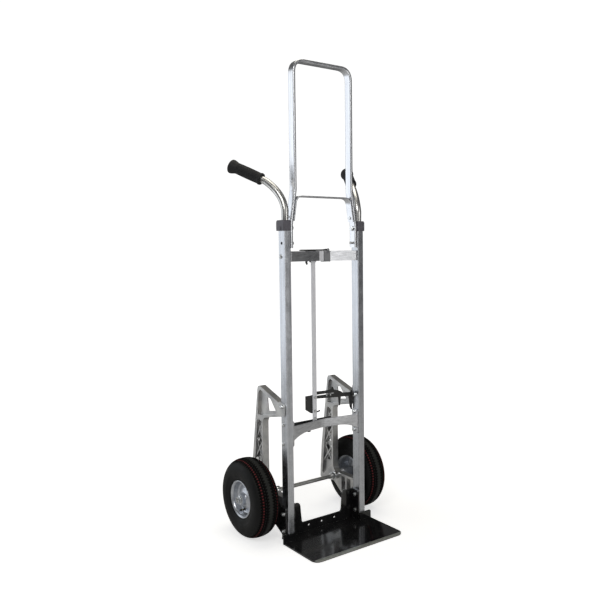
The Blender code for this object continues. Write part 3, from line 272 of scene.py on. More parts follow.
# How fine the die lines are along X, Y and Z.
ALONG_Z = (1400, 1400, 9)
ALONG_X = (9, 1400, 1400)
LOOKS = {
    # The number after the die lines' roughness and direction is how strong the painted edge highlight is.
    "mill": drawn_aluminium("mill aluminium", (0.58, 0.60, 0.64), (0.76, 0.78, 0.82), 0.26, ALONG_Z, 0.6),
    "mill_cross": drawn_aluminium(
        "crossbar aluminium", (0.60, 0.61, 0.64), (0.78, 0.79, 0.82), 0.30, ALONG_X, 0.5),
    "bright": drawn_aluminium(
        "bright aluminium", (0.84, 0.86, 0.91), (0.93, 0.94, 0.97), 0.24, ALONG_Z, 0.3, 0.3),
    "bright_tube": drawn_aluminium(
        "bright tube", (0.74, 0.74, 0.73), (0.86, 0.85, 0.83), 0.30, (500, 500, 30), 0.0, 0.2),
    "pale_bar": pale_metal("pale bar", (0.86, 0.87, 0.92), (0.93, 0.94, 0.98)),
    "bracket": enamel("grey bracket", (0.16, 0.165, 0.18), 0.42, 0.03 * MM, 0.5),
    "cast": cast_aluminium("cast aluminium"),
    "zinc": plated_steel("zinc plate", (0.62, 0.64, 0.67), (0.80, 0.82, 0.84), 0.22),
    "turned_cast": plated_steel("turned casting", (0.56, 0.56, 0.56), (0.74, 0.74, 0.73), 0.26),
    "bare_edge": plated_steel("bare steel edge", (0.50, 0.53, 0.50), (0.66, 0.68, 0.65), 0.36),
    "steel": plated_steel("axle steel", (0.30, 0.30, 0.31), (0.46, 0.46, 0.46), 0.34),
    "brass": plated_steel("valve brass", (0.55, 0.42, 0.20), (0.72, 0.58, 0.30), 0.3),
    "enamel": enamel("black enamel", (0.006, 0.006, 0.007), 0.14, 0.02 * MM, 0.9),
    "black": enamel("black steel", (0.010, 0.010, 0.011), 0.30, 0.03 * MM, 0.7),
    "cap": moulded_plastic("cap plastic", (0.10, 0.095, 0.115), (0.15, 0.145, 0.17), 0.48),
    "grip": rubber(
        "grip rubber", (0.010, 0.010, 0.011), (0.032, 0.032, 0.034), 0.62, 1300.0, 0.05 * MM),
    "tyre": rubber(
        "tyre rubber", (0.005, 0.005, 0.0055), (0.014, 0.015, 0.014), 0.55, 1500.0, 0.03 * MM, 0.2),
    "tread": rubber(
        "tread rubber", (0.016, 0.017, 0.016), (0.040, 0.042, 0.038), 0.60, 1500.0, 0.03 * MM, 0.25),
    # Darker than the tyre's own rubber: painted shade for the tread's grooves and cuts.
    "groove": rubber(
        "groove rubber", (0.002, 0.002, 0.002), (0.006, 0.006, 0.006), 0.80, 1500.0, 0.02 * MM, 0.1),
    "stripe": rubber(
        "stripe rubber", (0.100, 0.012, 0.014), (0.170, 0.030, 0.032), 0.62, 1500.0, 0.02 * MM, 0.2),
    "seal": rubber("seal rubber", (0.015, 0.015, 0.016), (0.04, 0.04, 0.04), 0.5, 2500.0, 0.01 * MM),
    "rim": rim_paint("rim paint"),
    "floor": pale_floor("pale floor"),
}
# The looks of the pieces that are copied from the CAD, by their material slot.
SLOT_LOOK = {
    "mill_aluminium": "mill", "cast_aluminium": "cast", "black_enamel": "enamel", "black_steel": "black",
    "cap_plastic": "cap",
}
SLOTS = {entry["node"]: entry["material_slot"] for entry in frame["record"]["subparts"]}
BODY_OF = {node: body for body, nodes in frame["record"]["behaviour"]["bodies"].items() for node in nodes}


# ================================================================ mesh tools

def new_piece(name, shape, looks, sharp_degrees=35.0):
    """A bmesh made into a smooth-shaded object with its looks in order."""
    bmesh.ops.recalc_face_normals(shape, faces=shape.faces)
    mesh = bpy.data.meshes.new(name)
    shape.to_mesh(mesh)
    shape.free()
    for look in looks:
        mesh.materials.append(LOOKS[look])
    mesh.shade_smooth()
    mesh.set_sharp_from_angle(angle=math.radians(sharp_degrees))
    made = bpy.data.objects.new(name, mesh)
    bpy.context.collection.objects.link(made)
    return made


def stand_for(piece, node):
    """The piece takes the place of a CAD node, on its body."""
    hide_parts(node)
    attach(piece, BODY_OF[node])
    return piece


def in_mm(pairs, start=0.0):
    """Profile pairs in millimetres as metres, with the first number of each counted from a start."""
    return [(start + along * MM, radius * MM) for along, radius in pairs]


def add_rings(shape, rings, closed=False, slot=0, slots=None):
    """Join rings of equal length; slots gives the material of each band between two rings."""
    rows = [[shape.verts.new(point) for point in ring] for ring in rings]
    pairs = list(zip(rows, rows[1:]))
    if closed:
        pairs.append((rows[-1], rows[0]))
    for number, (row, after) in enumerate(pairs):
        for i in range(len(row)):
            j = (i + 1) % len(row)
            face = shape.faces.new((row[i], row[j], after[j], after[i]))
            face.material_index = slots[number] if slots else slot
    if not closed:
        for row in (list(reversed(rows[0])), rows[-1]):
            shape.faces.new(row).material_index = slot


def frame_axes(axis):
    """Two directions square to an axis and to each other."""
    helper = X_AXIS if abs(axis.dot(Z_AXIS)) > 0.9 else Z_AXIS
    first = axis.cross(helper).normalized()
    return first, axis.cross(first).normalized()


def circle(centre, axis, radius, sides):
    first, second = frame_axes(axis)
    angles = [2 * math.pi * k / sides for k in range(sides)]
    return [centre + (first * math.cos(a) + second * math.sin(a)) * radius for a in angles]


def add_turned(shape, base, axis, profile, sides, closed=False, slot=0):
    """Turn a profile of (distance along the axis, radius) about an axis."""
    rings = [circle(base + axis * along, axis, radius, sides) for along, radius in profile]
    add_rings(shape, rings, closed, slot)


def rounded(points, radius, steps, closed=False):
    """Round the corners of a line of 2-D points with smooth curves of about a radius."""
    result = []
    count = len(points)
    for i, corner in enumerate(points):
        if not closed and i in (0, count - 1):
            result.append(tuple(corner))
            continue
        here = Vector(corner)
        before = Vector(points[i - 1])
        after = Vector(points[(i + 1) % count])
        into = here - before
        out = after - here
        bend = into.angle(out, 0.0)
        if bend < 0.02:
            result.append(tuple(corner))
            continue
        reach = min(radius * math.tan(bend / 2), into.length * 0.49, out.length * 0.49)
        start = here - into.normalized() * reach
        end = here + out.normalized() * reach
        for k in range(steps + 1):
            t = k / steps
            result.append(tuple(start * (1 - t) ** 2 + here * 2 * t * (1 - t) + end * t ** 2))
    return result


def sweep(shape, path, section, side_axis):
    """Sweep a closed 2-D section along a path; it lies across the bend first, then along side_axis."""
    rings = []
    for i, here in enumerate(path):
        before = path[max(i - 1, 0)]
        after = path[min(i + 1, len(path) - 1)]
        into = (here - before).normalized() if i else (after - here).normalized()
        out = (after - here).normalized() if i < len(path) - 1 else into
        along = (into + out).normalized()
        across = along.cross(side_axis).normalized() / max(along.dot(into), 0.5)
        rings.append([here + across * u + side_axis * v for u, v in section])
    add_rings(shape, rings)


def tube(shape, path, radii, sides):
    """A round bar along a path with no twist and a radius for each point."""
    first, _ = frame_axes((path[1] - path[0]).normalized())
    rings = []
    for i, here in enumerate(path):
        before = path[max(i - 1, 0)]
        after = path[min(i + 1, len(path) - 1)]
        along = (after - before).normalized()
        first = (first - along * first.dot(along)).normalized()
        second = along.cross(first)
        angles = [2 * math.pi * k / sides for k in range(sides)]
        rings.append([here + (first * math.cos(a) + second * math.sin(a)) * radii[i] for a in angles])
    add_rings(shape, rings)


def softened(node, width, look=None, angle=28.0):
    """A copy of a CAD node whose edges are rounded, which stands for the node."""
    shape = bmesh.new()
    shape.from_mesh(frame["nodes"][node].data)
    bmesh.ops.remove_doubles(shape, verts=shape.verts, dist=0.002 * MM)
    bmesh.ops.dissolve_limit(shape, angle_limit=math.radians(0.6), verts=shape.verts, edges=shape.edges)
    for face in shape.faces:
        face.material_index = 0
    piece = new_piece(node + "_skin", shape, [look or SLOT_LOOK[SLOTS[node]]], 180.0)
    bevel = piece.modifiers.new("Rounded edges", "BEVEL")
    bevel.width = width
    bevel.segments = 2
    bevel.limit_method = "ANGLE"
    bevel.angle_limit = math.radians(angle)
    bevel.use_clamp_overlap = True
    flat = piece.modifiers.new("Flat faces stay flat", "WEIGHTED_NORMAL")
    flat.mode = "FACE_AREA"
    flat.weight = 100
    apply_modifiers(piece)
    return stand_for(piece, node)


def apply_modifiers(piece):
    graph = bpy.context.evaluated_depsgraph_get()
    result = bpy.data.meshes.new_from_object(piece.evaluated_get(graph))
    piece.modifiers.clear()
    old = piece.data
    piece.data = result
    bpy.data.meshes.remove(old)


def cut(piece, shape, sharp_degrees):
    """Cut a closed bmesh out of a piece, and mark its sharp edges again."""
    tool = new_piece("cutter", shape, [])
    step = piece.modifiers.new("Cut", "BOOLEAN")
    step.operation = "DIFFERENCE"
    step.solver = "EXACT"
    step.object = tool
    apply_modifiers(piece)
    bpy.data.objects.remove(tool, do_unlink=True)
    piece.data.set_sharp_from_angle(angle=math.radians(sharp_degrees))


def repaint(piece, look, test):
    """Give another look to the faces of a piece that pass a test of their middle and normal."""
    piece.data.materials.append(LOOKS[look])
    number = len(piece.data.materials) - 1
    for face in piece.data.polygons:
        if test(face.center, face.normal):
            face.material_index = number


# ================================================================ wheels

TYRE_LOOKS = ["tyre", "stripe", "tread", "groove"]
TYRE_SIDES = 336
TYRE_BELLY = 90.0 * MM          # radius at which the tyre is widest
SIDEWALL = [(43.6, 84.0), (43.0, 79.5), (42.4, 78.6), (41.4, 73.0), (39.4, 67.6), (39.0, 66.2), (36.6, 63.4),
            (35.4, 61.4), (34.2, 60.6)]
TREAD_ROOT = 100.0 * MM         # no tread below this radius
TREAD_HALF = 33.0 * MM
PLAIN_CENTRE = 6.0 * MM
GROOVES = (12.4 * MM, 19.4 * MM, 29.6 * MM)
GROOVE_HALF = 1.2 * MM
GROOVE_DEPTH = 2.6 * MM
SIPE_PERIOD = 4
SIPE_PITCH = 2.6 * MM
SIPE_DEPTH = 2.2 * MM
STRIPE = (22.0 * MM, 28.6 * MM)
STRIPE_CUT = 1.6 * MM
SUNK = 0.45 * MM                # a face this far below the crown counts as a groove


def tyre_radius(offset, wheel):
    """The crown and shoulder of the tyre, as a radius at an offset from the wheel's middle."""
    share = min(abs(offset) / wheel["half"], 1.0)
    return TYRE_BELLY + wheel["height"] * (1 - share ** 2.6) ** (1 / 2.2)


def make_tyre(label):
    low, high = (Vector(corner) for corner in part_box("tyre_" + label))
    centre = Vector(((low.x + high.x) / 2, AXLE.y, AXLE.z))
    wheel = {"half": (high.x - low.x) / 2, "height": (high.z - low.z) / 2 - TYRE_BELLY}
    rim_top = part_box("wheel_rim_" + label)[1][2] - AXLE.z
    # Crown from one shoulder to the other, then down each sidewall to the bead.
    crown = [wheel["half"] * math.sin(t * math.pi / 2) for t in np.linspace(-1, 1, 53)]
    profile = [(offset, tyre_radius(offset, wheel)) for offset in crown]
    wall = [(x, r) for x, r in in_mm(SIDEWALL) if r > rim_top]
    wall += [(32.5 * MM, rim_top - 3.5 * MM), (24.0 * MM, rim_top - 4.4 * MM)]
    full = [(-x, r) for x, r in reversed(wall)] + profile + wall
    rows = []
    for offset, radius in full:
        ring = []
        for k in range(TYRE_SIDES):
            angle = 2 * math.pi * k / TYRE_SIDES
            r = radius - tread_depth(offset, radius, k)
            ring.append(centre + Vector((offset, -r * math.cos(angle), r * math.sin(angle))))
        rows.append(ring)
    slots = []
    for (here, radius), (after, _) in zip(full, full[1:]):
        striped = STRIPE[0] < abs(here + after) / 2 < STRIPE[1] and radius > TREAD_ROOT
        slots.append(TYRE_LOOKS.index("stripe") if striped else 0)
    slots.append(0)
    shape = bmesh.new()
    add_rings(shape, rows, closed=True, slots=slots)
    piece = new_piece("tyre_" + label + "_treaded", shape, TYRE_LOOKS, 50)
    paint_tread(piece, centre, wheel)
    stand_for(piece, "tyre_" + label)


def paint_tread(piece, centre, wheel):
    """The worn crown is a little paler than the sidewalls, and the grooves and cuts are painted darker as
    shade.
    """
    for face in piece.data.polygons:
        offset = abs(face.center.x - centre.x)
        radius = math.hypot(face.center.y - centre.y, face.center.z - centre.z)
        if radius < TREAD_ROOT or offset > TREAD_HALF:
            continue
        # Painted shade: faces sunk into a groove or cut get the darker groove rubber.
        if tyre_radius(offset, wheel) - radius > SUNK:
            face.material_index = TYRE_LOOKS.index("groove")
        elif face.material_index == 0:
            face.material_index = TYRE_LOOKS.index("tread")


def tread_depth(offset, radius, step):
    """How far the tread is sunk at a point: ribs between grooves, crossed by fine slanted cuts."""
    reach = abs(offset)
    if radius < TREAD_ROOT or reach > TREAD_HALF:
        return 0.0
    striped = STRIPE[0] < reach < STRIPE[1]
    depth = GROOVE_DEPTH if any(abs(reach - groove) < GROOVE_HALF for groove in GROOVES) else 0.0
    slant = int(round(reach / SIPE_PITCH))
    if (step + slant) % SIPE_PERIOD == 0 and reach > PLAIN_CENTRE and not striped:
        depth = max(depth, SIPE_DEPTH)
    if striped and step % SIPE_PERIOD == 0:
        depth = STRIPE_CUT
    return depth


RIM_EDGE = 37.0 * MM
VALVE_PLACE = (11.5 * MM, -40.5 * MM)


def make_rim(label, side):
    low, high = (Vector(corner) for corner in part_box("wheel_rim_" + label))
    lip = (high.z - low.z) / 2
    centre = Vector((sum(corner[0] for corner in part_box("tyre_" + label)) / 2, AXLE.y, AXLE.z))
    out = Vector((side, 0, 0))
    hub_out = (high.x if side > 0 else -low.x) - abs(centre.x)
    hub_in = abs(centre.x) - (low.x if side > 0 else -high.x)
    outside = [(-RIM_EDGE + 1.0 * MM, lip - 1.2 * MM), (-RIM_EDGE + 0.6 * MM, lip), (-34.2 * MM, lip)]
    outside += in_mm([(-33.0, 56.4), (-30.0, 54.8), (30.0, 54.8), (33.0, 56.4)])
    outside += [(34.2 * MM, lip), (RIM_EDGE - 0.6 * MM, lip), (RIM_EDGE, lip - 1.0 * MM)]
    outside += [(RIM_EDGE, lip - 2.6 * MM), (RIM_EDGE - 1.6 * MM, lip - 4.0 * MM)]
    dish = in_mm([(34.0, 54.6), (31.0, 52.6), (22.0, 51.6), (15.0, 49.6), (12.6, 45.0), (14.5, 38.0),
                  (19.0, 31.0), (20.6, 25.0), (22.0, 20.5), (26.0, 17.2)])
    hub = in_mm([(-1.0, 16.5), (0, 15.8), (0, 12.4)], hub_out)
    hub += in_mm([(0, 12.4), (0, 15.8), (1.0, 16.5)], -hub_in)
    back = in_mm([(-8.0, 16.5), (4.0, 19.0), (17.6, 23.5), (17.0, 30.0), (12.0, 38.0), (10.0, 46.0),
                  (10.0, 51.6), (-30.0, 52.4), (-34.5, 54.6)])
    back.append((-RIM_EDGE, 57.6 * MM))
    profile = rounded(outside + dish + hub + back, 2.5 * MM, 3, closed=True)
    shape = bmesh.new()
    add_turned(shape, centre, out, profile, 128, closed=True)
    piece = new_piece("wheel_rim_" + label + "_pressed", shape, ["rim"], 38)
    valve = centre + Vector((0, *VALVE_PLACE))
    hole = bmesh.new()
    add_turned(hole, valve + out * 2 * MM, out, in_mm([(0, 5.2), (30, 5.2)]), 24)
    cut(piece, hole, 38)
    stand_for(piece, "wheel_rim_" + label)
    make_valve(label, valve, out)
    make_hub_seals(label, centre, out, hub_out, hub_in)


def make_valve(label, place, out):
    """A rubber stem with a brass end and a black cap, standing out of the rim's dish."""
    stem = in_mm([(0, 3.2), (1, 4.4), (5, 3.6), (12, 3.0), (13, 2.4)])
    cap = in_mm([(0, 2.9), (0.6, 3.3), (7, 3.1), (8, 2.2)])
    shape = bmesh.new()
    add_turned(shape, place + out * 9 * MM, out, stem, 20)
    add_turned(shape, place + out * 21 * MM, out, in_mm([(0, 2.3), (4, 2.3)]), 20, slot=1)
    add_turned(shape, place + out * 24.5 * MM, out, cap, 16)
    piece = new_piece("valve_stem_" + label, shape, ["seal", "brass"])
    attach(piece, "wheel_" + label)


BEARING_LOOKS = ["zinc", "seal"]
BEARING_RINGS = [
    # look, and the ring's outline as (distance along the hub, radius) in millimetres
    ("zinc", [(-7, 12.2), (0, 12.2), (0.4, 11.8), (0.4, 10.8), (0, 10.6), (-7, 10.6)]),
    ("seal", [(-6, 10.55), (-0.2, 10.55), (-0.5, 9.6), (-0.2, 8.95), (-6, 8.95)]),
    ("zinc", [(-7, 8.9), (0, 8.9), (0.4, 8.6), (0.4, 7.6), (-7, 7.5)]),
]


def make_hub_seals(label, centre, out, hub_out, hub_in):
    """A ball bearing's rings and seal at each end of the hub."""
    shape = bmesh.new()
    for end, facing in ((hub_out, 1), (-hub_in, -1)):
        face = centre + out * (end - facing * 1.2 * MM)
        for look, outline in BEARING_RINGS:
            slot = BEARING_LOOKS.index(look)
            add_turned(shape, face, out * facing, in_mm(outline), 48, closed=True, slot=slot)
    piece = new_piece("hub_bearing_" + label + "_rings", shape, BEARING_LOOKS)
    stand_for(piece, "hub_bearing_" + label)


def make_axle():
    """A round bar with a threaded stretch at each end."""
    low, high = (Vector(corner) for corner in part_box("axle"))
    radius = (high.z - low.z) / 2
    half = high.x
    end = [(-half, radius - 1.4 * MM), (-half + 1.2 * MM, radius - 0.3 * MM)]
    places = [half - 1.2 * MM - k * 0.75 * MM for k in range(10)]
    end += [(-x, radius - (0.2 if k % 2 else 0.65) * MM) for k, x in enumerate(places)]
    end.append((-half + 9 * MM, radius))
    shape = bmesh.new()
    profile = end + [(-x, r) for x, r in reversed(end)]
    add_turned(shape, Vector((0, AXLE.y, AXLE.z)), X_AXIS, profile, 40)
    stand_for(new_piece("axle_turned", shape, ["steel"], 25), "axle")


AXLE_BORE_MM = 7.1


def make_axle_fittings(label, side):
    """The collar with its set screw inside the wheel, and the washer and nut outside it."""
    out = Vector((side, 0, 0))
    centre = Vector((0, AXLE.y, AXLE.z))
    start, end = sorted(abs(corner[0]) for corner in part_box("axle_collar_" + label))
    collar = in_mm([(0, AXLE_BORE_MM), (0, 11.5), (1.0, 12.5), (8, 12.5), (9, 11.5), (11.5, 10.8), (14, 10.8),
                    (15, 12.6), (16.5, 13.5)], start)
    collar += in_mm([(-0.8, 13.5), (0, 12.8), (0, AXLE_BORE_MM)], end)
    shape = bmesh.new()
    add_turned(shape, centre, out, collar, 48, closed=True)
    screw = in_mm([(11, 3.0), (14.0, 3.0), (14.6, 2.4)])
    toward = Vector((0, -0.8, 0.6)).normalized()
    add_turned(shape, centre + out * (start + 5 * MM), toward, screw, 6)
    stand_for(new_piece("axle_collar_" + label + "_turned", shape, ["zinc"], 25), "axle_collar_" + label)
    start, end = sorted(abs(corner[0]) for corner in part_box("axle_nut_" + label))
    washer = in_mm([(0, AXLE_BORE_MM), (0, 12.3), (0.3, 12.8), (1.5, 12.8), (1.8, 12.3),
                    (1.8, AXLE_BORE_MM)], start)
    shape = bmesh.new()
    add_turned(shape, centre, out, washer, 48, closed=True)
    nut_height = end - start - 2.0 * MM
    add_hexagon(shape, centre + out * (start + 2.0 * MM), out, 11.0 * MM, nut_height, AXLE_BORE_MM * MM)
    stand_for(new_piece("axle_nut_" + label + "_turned", shape, ["zinc"], 25), "axle_nut_" + label)


# ================================================================ fasteners

HEXAGON_SIDES = 36
SHANK_RADIUS = 3.9 * MM
WASHER_HEIGHT = 1.1 * MM


def lying_along_x(node):
    """Where a CAD fastener along X starts and ends, as |x|; its axis at x = 0; and its radius."""
    low, high = (Vector(corner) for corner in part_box(node))
    start, end = sorted((abs(low.x), abs(high.x)))
    centre = Vector((0, (low.y + high.y) / 2, (low.z + high.z) / 2))
    return start, end, centre, (high.y - low.y) / 2


def dome(start, rise, radius, from_angle, to_angle=1.45):
    """A domed end as a profile, from near its rim to near its crown; the angles are in radians."""
    angles = np.linspace(from_angle, to_angle, 8)
    return [(start + rise * math.sin(t), radius * math.cos(t)) for t in angles]


def add_hexagon(shape, base, axis, radius, height, bore=0.0):
    """A hexagon head or nut whose outer corners are turned off in a cone."""
    first, second = frame_axes(axis)
    corner_cut = radius * 0.045
    # Distance from the base, and the share of the radius that the corners keep there.
    stations = [(0, 0.97), (corner_cut, 1.0), (height - 2 * corner_cut, 1.0), (height - corner_cut, 0.95),
                (height, 0.87)]
    rings = []
    for distance, share in stations:
        ring = []
        for k in range(HEXAGON_SIDES):
            angle = 2 * math.pi * k / HEXAGON_SIDES
            within = (angle % (math.pi / 3)) - math.pi / 6
            flat = radius * math.cos(math.pi / 6) / math.cos(within)
            reach = min(flat, radius * share)
            ring.append(base + axis * distance + (first * math.cos(angle) + second * math.sin(angle)) * reach)
        rings.append(ring)
    if bore:
        rings += [circle(end, axis, bore, HEXAGON_SIDES) for end in (base + axis * height, base)]
    add_rings(shape, rings, closed=bool(bore))


def add_washer(shape, base, axis, radius):
    edge = WASHER_HEIGHT * 0.25
    profile = [(0, SHANK_RADIUS), (0, radius - edge), (edge, radius), (WASHER_HEIGHT - edge, radius),
               (WASHER_HEIGHT, radius - edge), (WASHER_HEIGHT, SHANK_RADIUS)]
    add_turned(shape, base, axis, profile, 36, closed=True)


def add_thread(shape, base, axis, radius, length):
    """The end of a bolt past its nut, as a stack of ridges with a pointed tip."""
    pitch = 1.1 * MM
    count = max(int(length / pitch), 2)
    profile = [(0, radius)]
    for k in range(count):
        start = k * length / count
        profile += [(start + 0.25 * pitch, radius - 0.55 * MM), (start + 0.75 * pitch, radius)]
    profile.append((length, radius - 1.0 * MM))
    add_turned(shape, base, axis, profile, 28)


def make_bolt(node, side):
    """Through bolt: hexagon head and washer inboard, and a domed end or a nut and thread outboard."""
    start, end, centre, radius = lying_along_x(node)
    out = Vector((side, 0, 0))
    domed = "crossbar" in node
    nut_start = end - 3.0 * MM - (2.0 * MM if domed else 5.0 * MM)
    seat = centre + out * (start + 3.4 * MM)
    shape = bmesh.new()
    add_hexagon(shape, seat, -out, radius * 0.94, 3.4 * MM)
    add_washer(shape, seat, out, radius * 1.05)
    shank = [(start + 3.0 * MM, SHANK_RADIUS), (nut_start + 1 * MM, SHANK_RADIUS)]
    add_turned(shape, centre, out, shank, 24)
    if domed:
        rim = nut_start + 0.8 * MM
        profile = [(nut_start, radius), (rim, radius)]
        profile += [(x, r * 0.98 + 0.1 * MM) for x, r in dome(rim, 3.4 * MM, radius, 0.1)]
        add_turned(shape, centre, out, profile, 32)
    else:
        add_washer(shape, centre + out * nut_start, out, radius * 1.05)
        add_hexagon(shape, centre + out * (nut_start + 1.2 * MM), out, radius * 0.94, 4.0 * MM, SHANK_RADIUS)
        thread_base = centre + out * (nut_start + 1.0 * MM)
        add_thread(shape, thread_base, out, 3.8 * MM, end - nut_start - 1.0 * MM)
    stand_for(new_piece(node + "_threaded", shape, ["zinc"], 25), node)


PINS = {
    # node: head's height, shank's radius and riveted end's height, in millimetres
    "latch_plate_bolt": (4.0, 2.5, 0.0), "rod_stop_bolt": (4.0, 2.5, 0.0), "latch_link_pin": (4.0, 2.5, 2.0),
    "lever_link_pin": (0.0, 2.5, 2.0), "lever_pivot_pin": (2.4, 1.7, 1.5), "latch_pivot_pin": (3.2, 3.2, 3.0),
}


def make_pin(node, head_mm, shank_mm, tail_mm):
    """A pin along Y with a hexagon head in front, a riveted end behind, or both."""
    low, high = (Vector(corner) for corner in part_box(node))
    head = head_mm * MM
    tail = tail_mm * MM
    back = Vector((0, 1, 0))
    base = Vector(((low.x + high.x) / 2, 0, (low.z + high.z) / 2))
    radius = (high.x - low.x) / 2
    shape = bmesh.new()
    shank = [(low.y + 0.3 * head, shank_mm * MM), (high.y - 0.3 * tail, shank_mm * MM)]
    add_turned(shape, base, back, shank, 24)
    if head:
        seat = base + back * (low.y + head)
        flange = [(-0.2 * MM, radius), (0.5 * MM, radius), (0.8 * MM, radius - 0.4 * MM)]
        add_hexagon(shape, seat, -back, radius * 0.94, head * 0.8)
        add_turned(shape, seat, -back, flange, 32)
    if tail:
        add_turned(shape, base, back, dome(high.y - tail, tail, radius, 0), 32)
    stand_for(new_piece(node + "_turned", shape, ["zinc"], 25), node)


ARM_RIVETS = ((24.6 * MM, 440.6 * MM), (40.6 * MM, 440.0 * MM))
ARM_RIVET_RADIUS = 2.9 * MM


def make_arm_rivets():
    """Two bright rivets in the latch arm's lower bar."""
    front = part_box("latch_arm")[0][1]
    profile = [(-0.4 * MM, ARM_RIVET_RADIUS)] + dome(0, 1.9 * MM, ARM_RIVET_RADIUS, 0, 1.4)
    for number, (x, z) in enumerate(ARM_RIVETS, 1):
        shape = bmesh.new()
        add_turned(shape, Vector((x, front, z)), Vector((0, -1, 0)), profile, 28)
        rivet = new_piece(f"latch_arm_rivet_{number}", shape, ["zinc"], 30)
        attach(rivet, "latch")


# ================================================================ loop handle and grips

LOOP_BAR = 9.5 * MM             # width of the loop's flat-sided bar seen from the front
LOOP_STEP = 16.5 * MM           # how far the legs stand inside the feet
LOOP_STEP_HEIGHTS = (70 * MM, 180 * MM)
LOOP_CORNER = 40 * MM
BRACE_BAR = 4 * MM
BRACE_CORNER = 29 * MM
LOOP_DRILL = (104 * MM, 140 * MM)
# What goes through each hole in the loop's legs, and the hole's radius.
LOOP_HOLES = [("loop_pin_", 3.8 * MM), ("loop_pivot_bolt_", 4.6 * MM), ("brace_rivet_", 3.3 * MM)]
BRACE_HOLES = LOOP_HOLES[2:]


def section_of(width, depth, radius):
    """A flat-sided tube's outline with round corners, centred on the path."""
    u, v = width / 2, depth / 2
    return rounded([(-u, -v), (u, -v), (u, v), (-u, v)], radius, 5, closed=True)


def loop_bar(node, half_line, width, radius, corner, holes):
    """A symmetric bar bent in the XZ plane, with holes along X on both sides, that stands for a CAD node."""
    low, high = (Vector(corner_point) for corner_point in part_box(node))
    line = rounded(half_line + [(-x, z) for x, z in reversed(half_line)], corner, 12)
    middle_y = (low.y + high.y) / 2
    path = [Vector((x, middle_y, z)) for x, z in line]
    shape = bmesh.new()
    sweep(shape, path, section_of(width, high.y - low.y, radius), Vector((0, 1, 0)))
    piece = new_piece(node + "_bent", shape, ["bright"], 40)
    for fitting, hole_radius in holes:
        for label, side in SIDES.items():
            centre = lying_along_x(fitting + label)[2]
            hole = bmesh.new()
            add_turned(hole, centre, X_AXIS * side, [(x, hole_radius) for x in LOOP_DRILL], 32)
            cut(piece, hole, 40)
    stand_for(piece, node)


def make_loop():
    low, high = (Vector(corner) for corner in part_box("loop_handle"))
    foot = high.x - LOOP_BAR / 2
    leg = foot - LOOP_STEP
    line = [(foot, low.z)]
    line += [(x, low.z + height) for x, height in zip((foot, leg), LOOP_STEP_HEIGHTS)]
    line.append((leg, high.z - LOOP_BAR / 2))
    loop_bar("loop_handle", line, LOOP_BAR, 3.4 * MM, LOOP_CORNER, LOOP_HOLES)
    low, high = (Vector(corner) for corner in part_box("loop_brace"))
    line = [(high.x - 2.4 * MM, low.z), (high.x - 7.2 * MM, low.z + 30 * MM)]
    line.append((high.x - 13.6 * MM, high.z - BRACE_BAR / 2))
    loop_bar("loop_brace", line, BRACE_BAR, 1.2 * MM, BRACE_CORNER, BRACE_HOLES)


def make_loop_pin(node, out):
    """A lock pin with two collars at its inner end."""
    start, end, centre, _ = lying_along_x(node)
    profile = in_mm([(0, 1.8), (0.4, 2.6), (0.5, 4.1), (0.8, 4.4), (1.2, 4.4), (1.5, 4.1), (1.6, 2.7),
                     (3.3, 2.7), (3.5, 4.1), (3.8, 4.4), (4.3, 4.4), (4.6, 4.0), (4.7, 3.0)], start)
    profile += in_mm([(-0.8, 3.0), (0, 2.3)], end)
    shape = bmesh.new()
    add_turned(shape, centre, out, profile, 36)
    stand_for(new_piece(node + "_turned", shape, ["steel"], 30), node)


def make_loop_pivot_bolt(node, out):
    """A hexagon head and washer inboard, and a low dome in the cap's grey outboard."""
    start, end, centre, _ = lying_along_x(node)
    shape = bmesh.new()
    add_hexagon(shape, centre + out * (start + 4.2 * MM), -out, 7.2 * MM, 4.2 * MM)
    add_washer(shape, centre + out * (start + 4.1 * MM), out, 8.0 * MM)
    shank = [(start + 3.5 * MM, SHANK_RADIUS), (end - 3.6 * MM, SHANK_RADIUS)]
    add_turned(shape, centre, out, shank, 28)
    profile = in_mm([(-4.0, 6.0), (-3.9, 6.1)], end) + dome(end - 3.9 * MM, 1.8 * MM, 6.1 * MM, 0.15)
    add_turned(shape, centre, out, profile, 36, slot=1)
    stand_for(new_piece(node + "_turned", shape, ["zinc", "cap"], 25), node)


def make_brace_rivet(node, out):
    """A rivet through the brace and the loop, with a round head inboard."""
    start, end, centre, _ = lying_along_x(node)
    angles = np.linspace(0, 1.57, 9)
    profile = [(start + 1.4 * MM * (1 - math.cos(t)), 5.5 * MM * math.sin(t) + 0.05 * MM) for t in angles]
    profile += [(start + 1.5 * MM, 2.9 * MM), (end, 2.9 * MM)]
    shape = bmesh.new()
    add_turned(shape, centre, out, profile, 32)
    stand_for(new_piece(node + "_turned", shape, ["zinc"], 30), node)


GRIP_INNER = Vector((180.0, 87.0, 1140.0)) * MM
GRIP_OUTER = Vector((238.0, 180.0, 1191.0)) * MM
GRIP_RADIUS = 17.6 * MM
GRIP_FLARE = 22.5 * MM
RIB_PITCH = 3.4 * MM
RIB_STEPS = 6
RIBS_FROM = 14 * MM             # from the grip's inner end
RIBS_TO = 30 * MM               # from its outer end
TUBE_RADIUS = 11.6 * MM
TUBE_Y = 12.4 * MM
# (height, radius) in millimetres of the tube's reduced end in the rail and of its neck in the cap
TUBE_FOOT = [(957, 8.8), (979.4, 8.8), (980, 11.0), (1012, 11.0)]
TUBE_BEND_START = 1042
TUBE_BEND_MIDDLE = (1, 8, 1094)


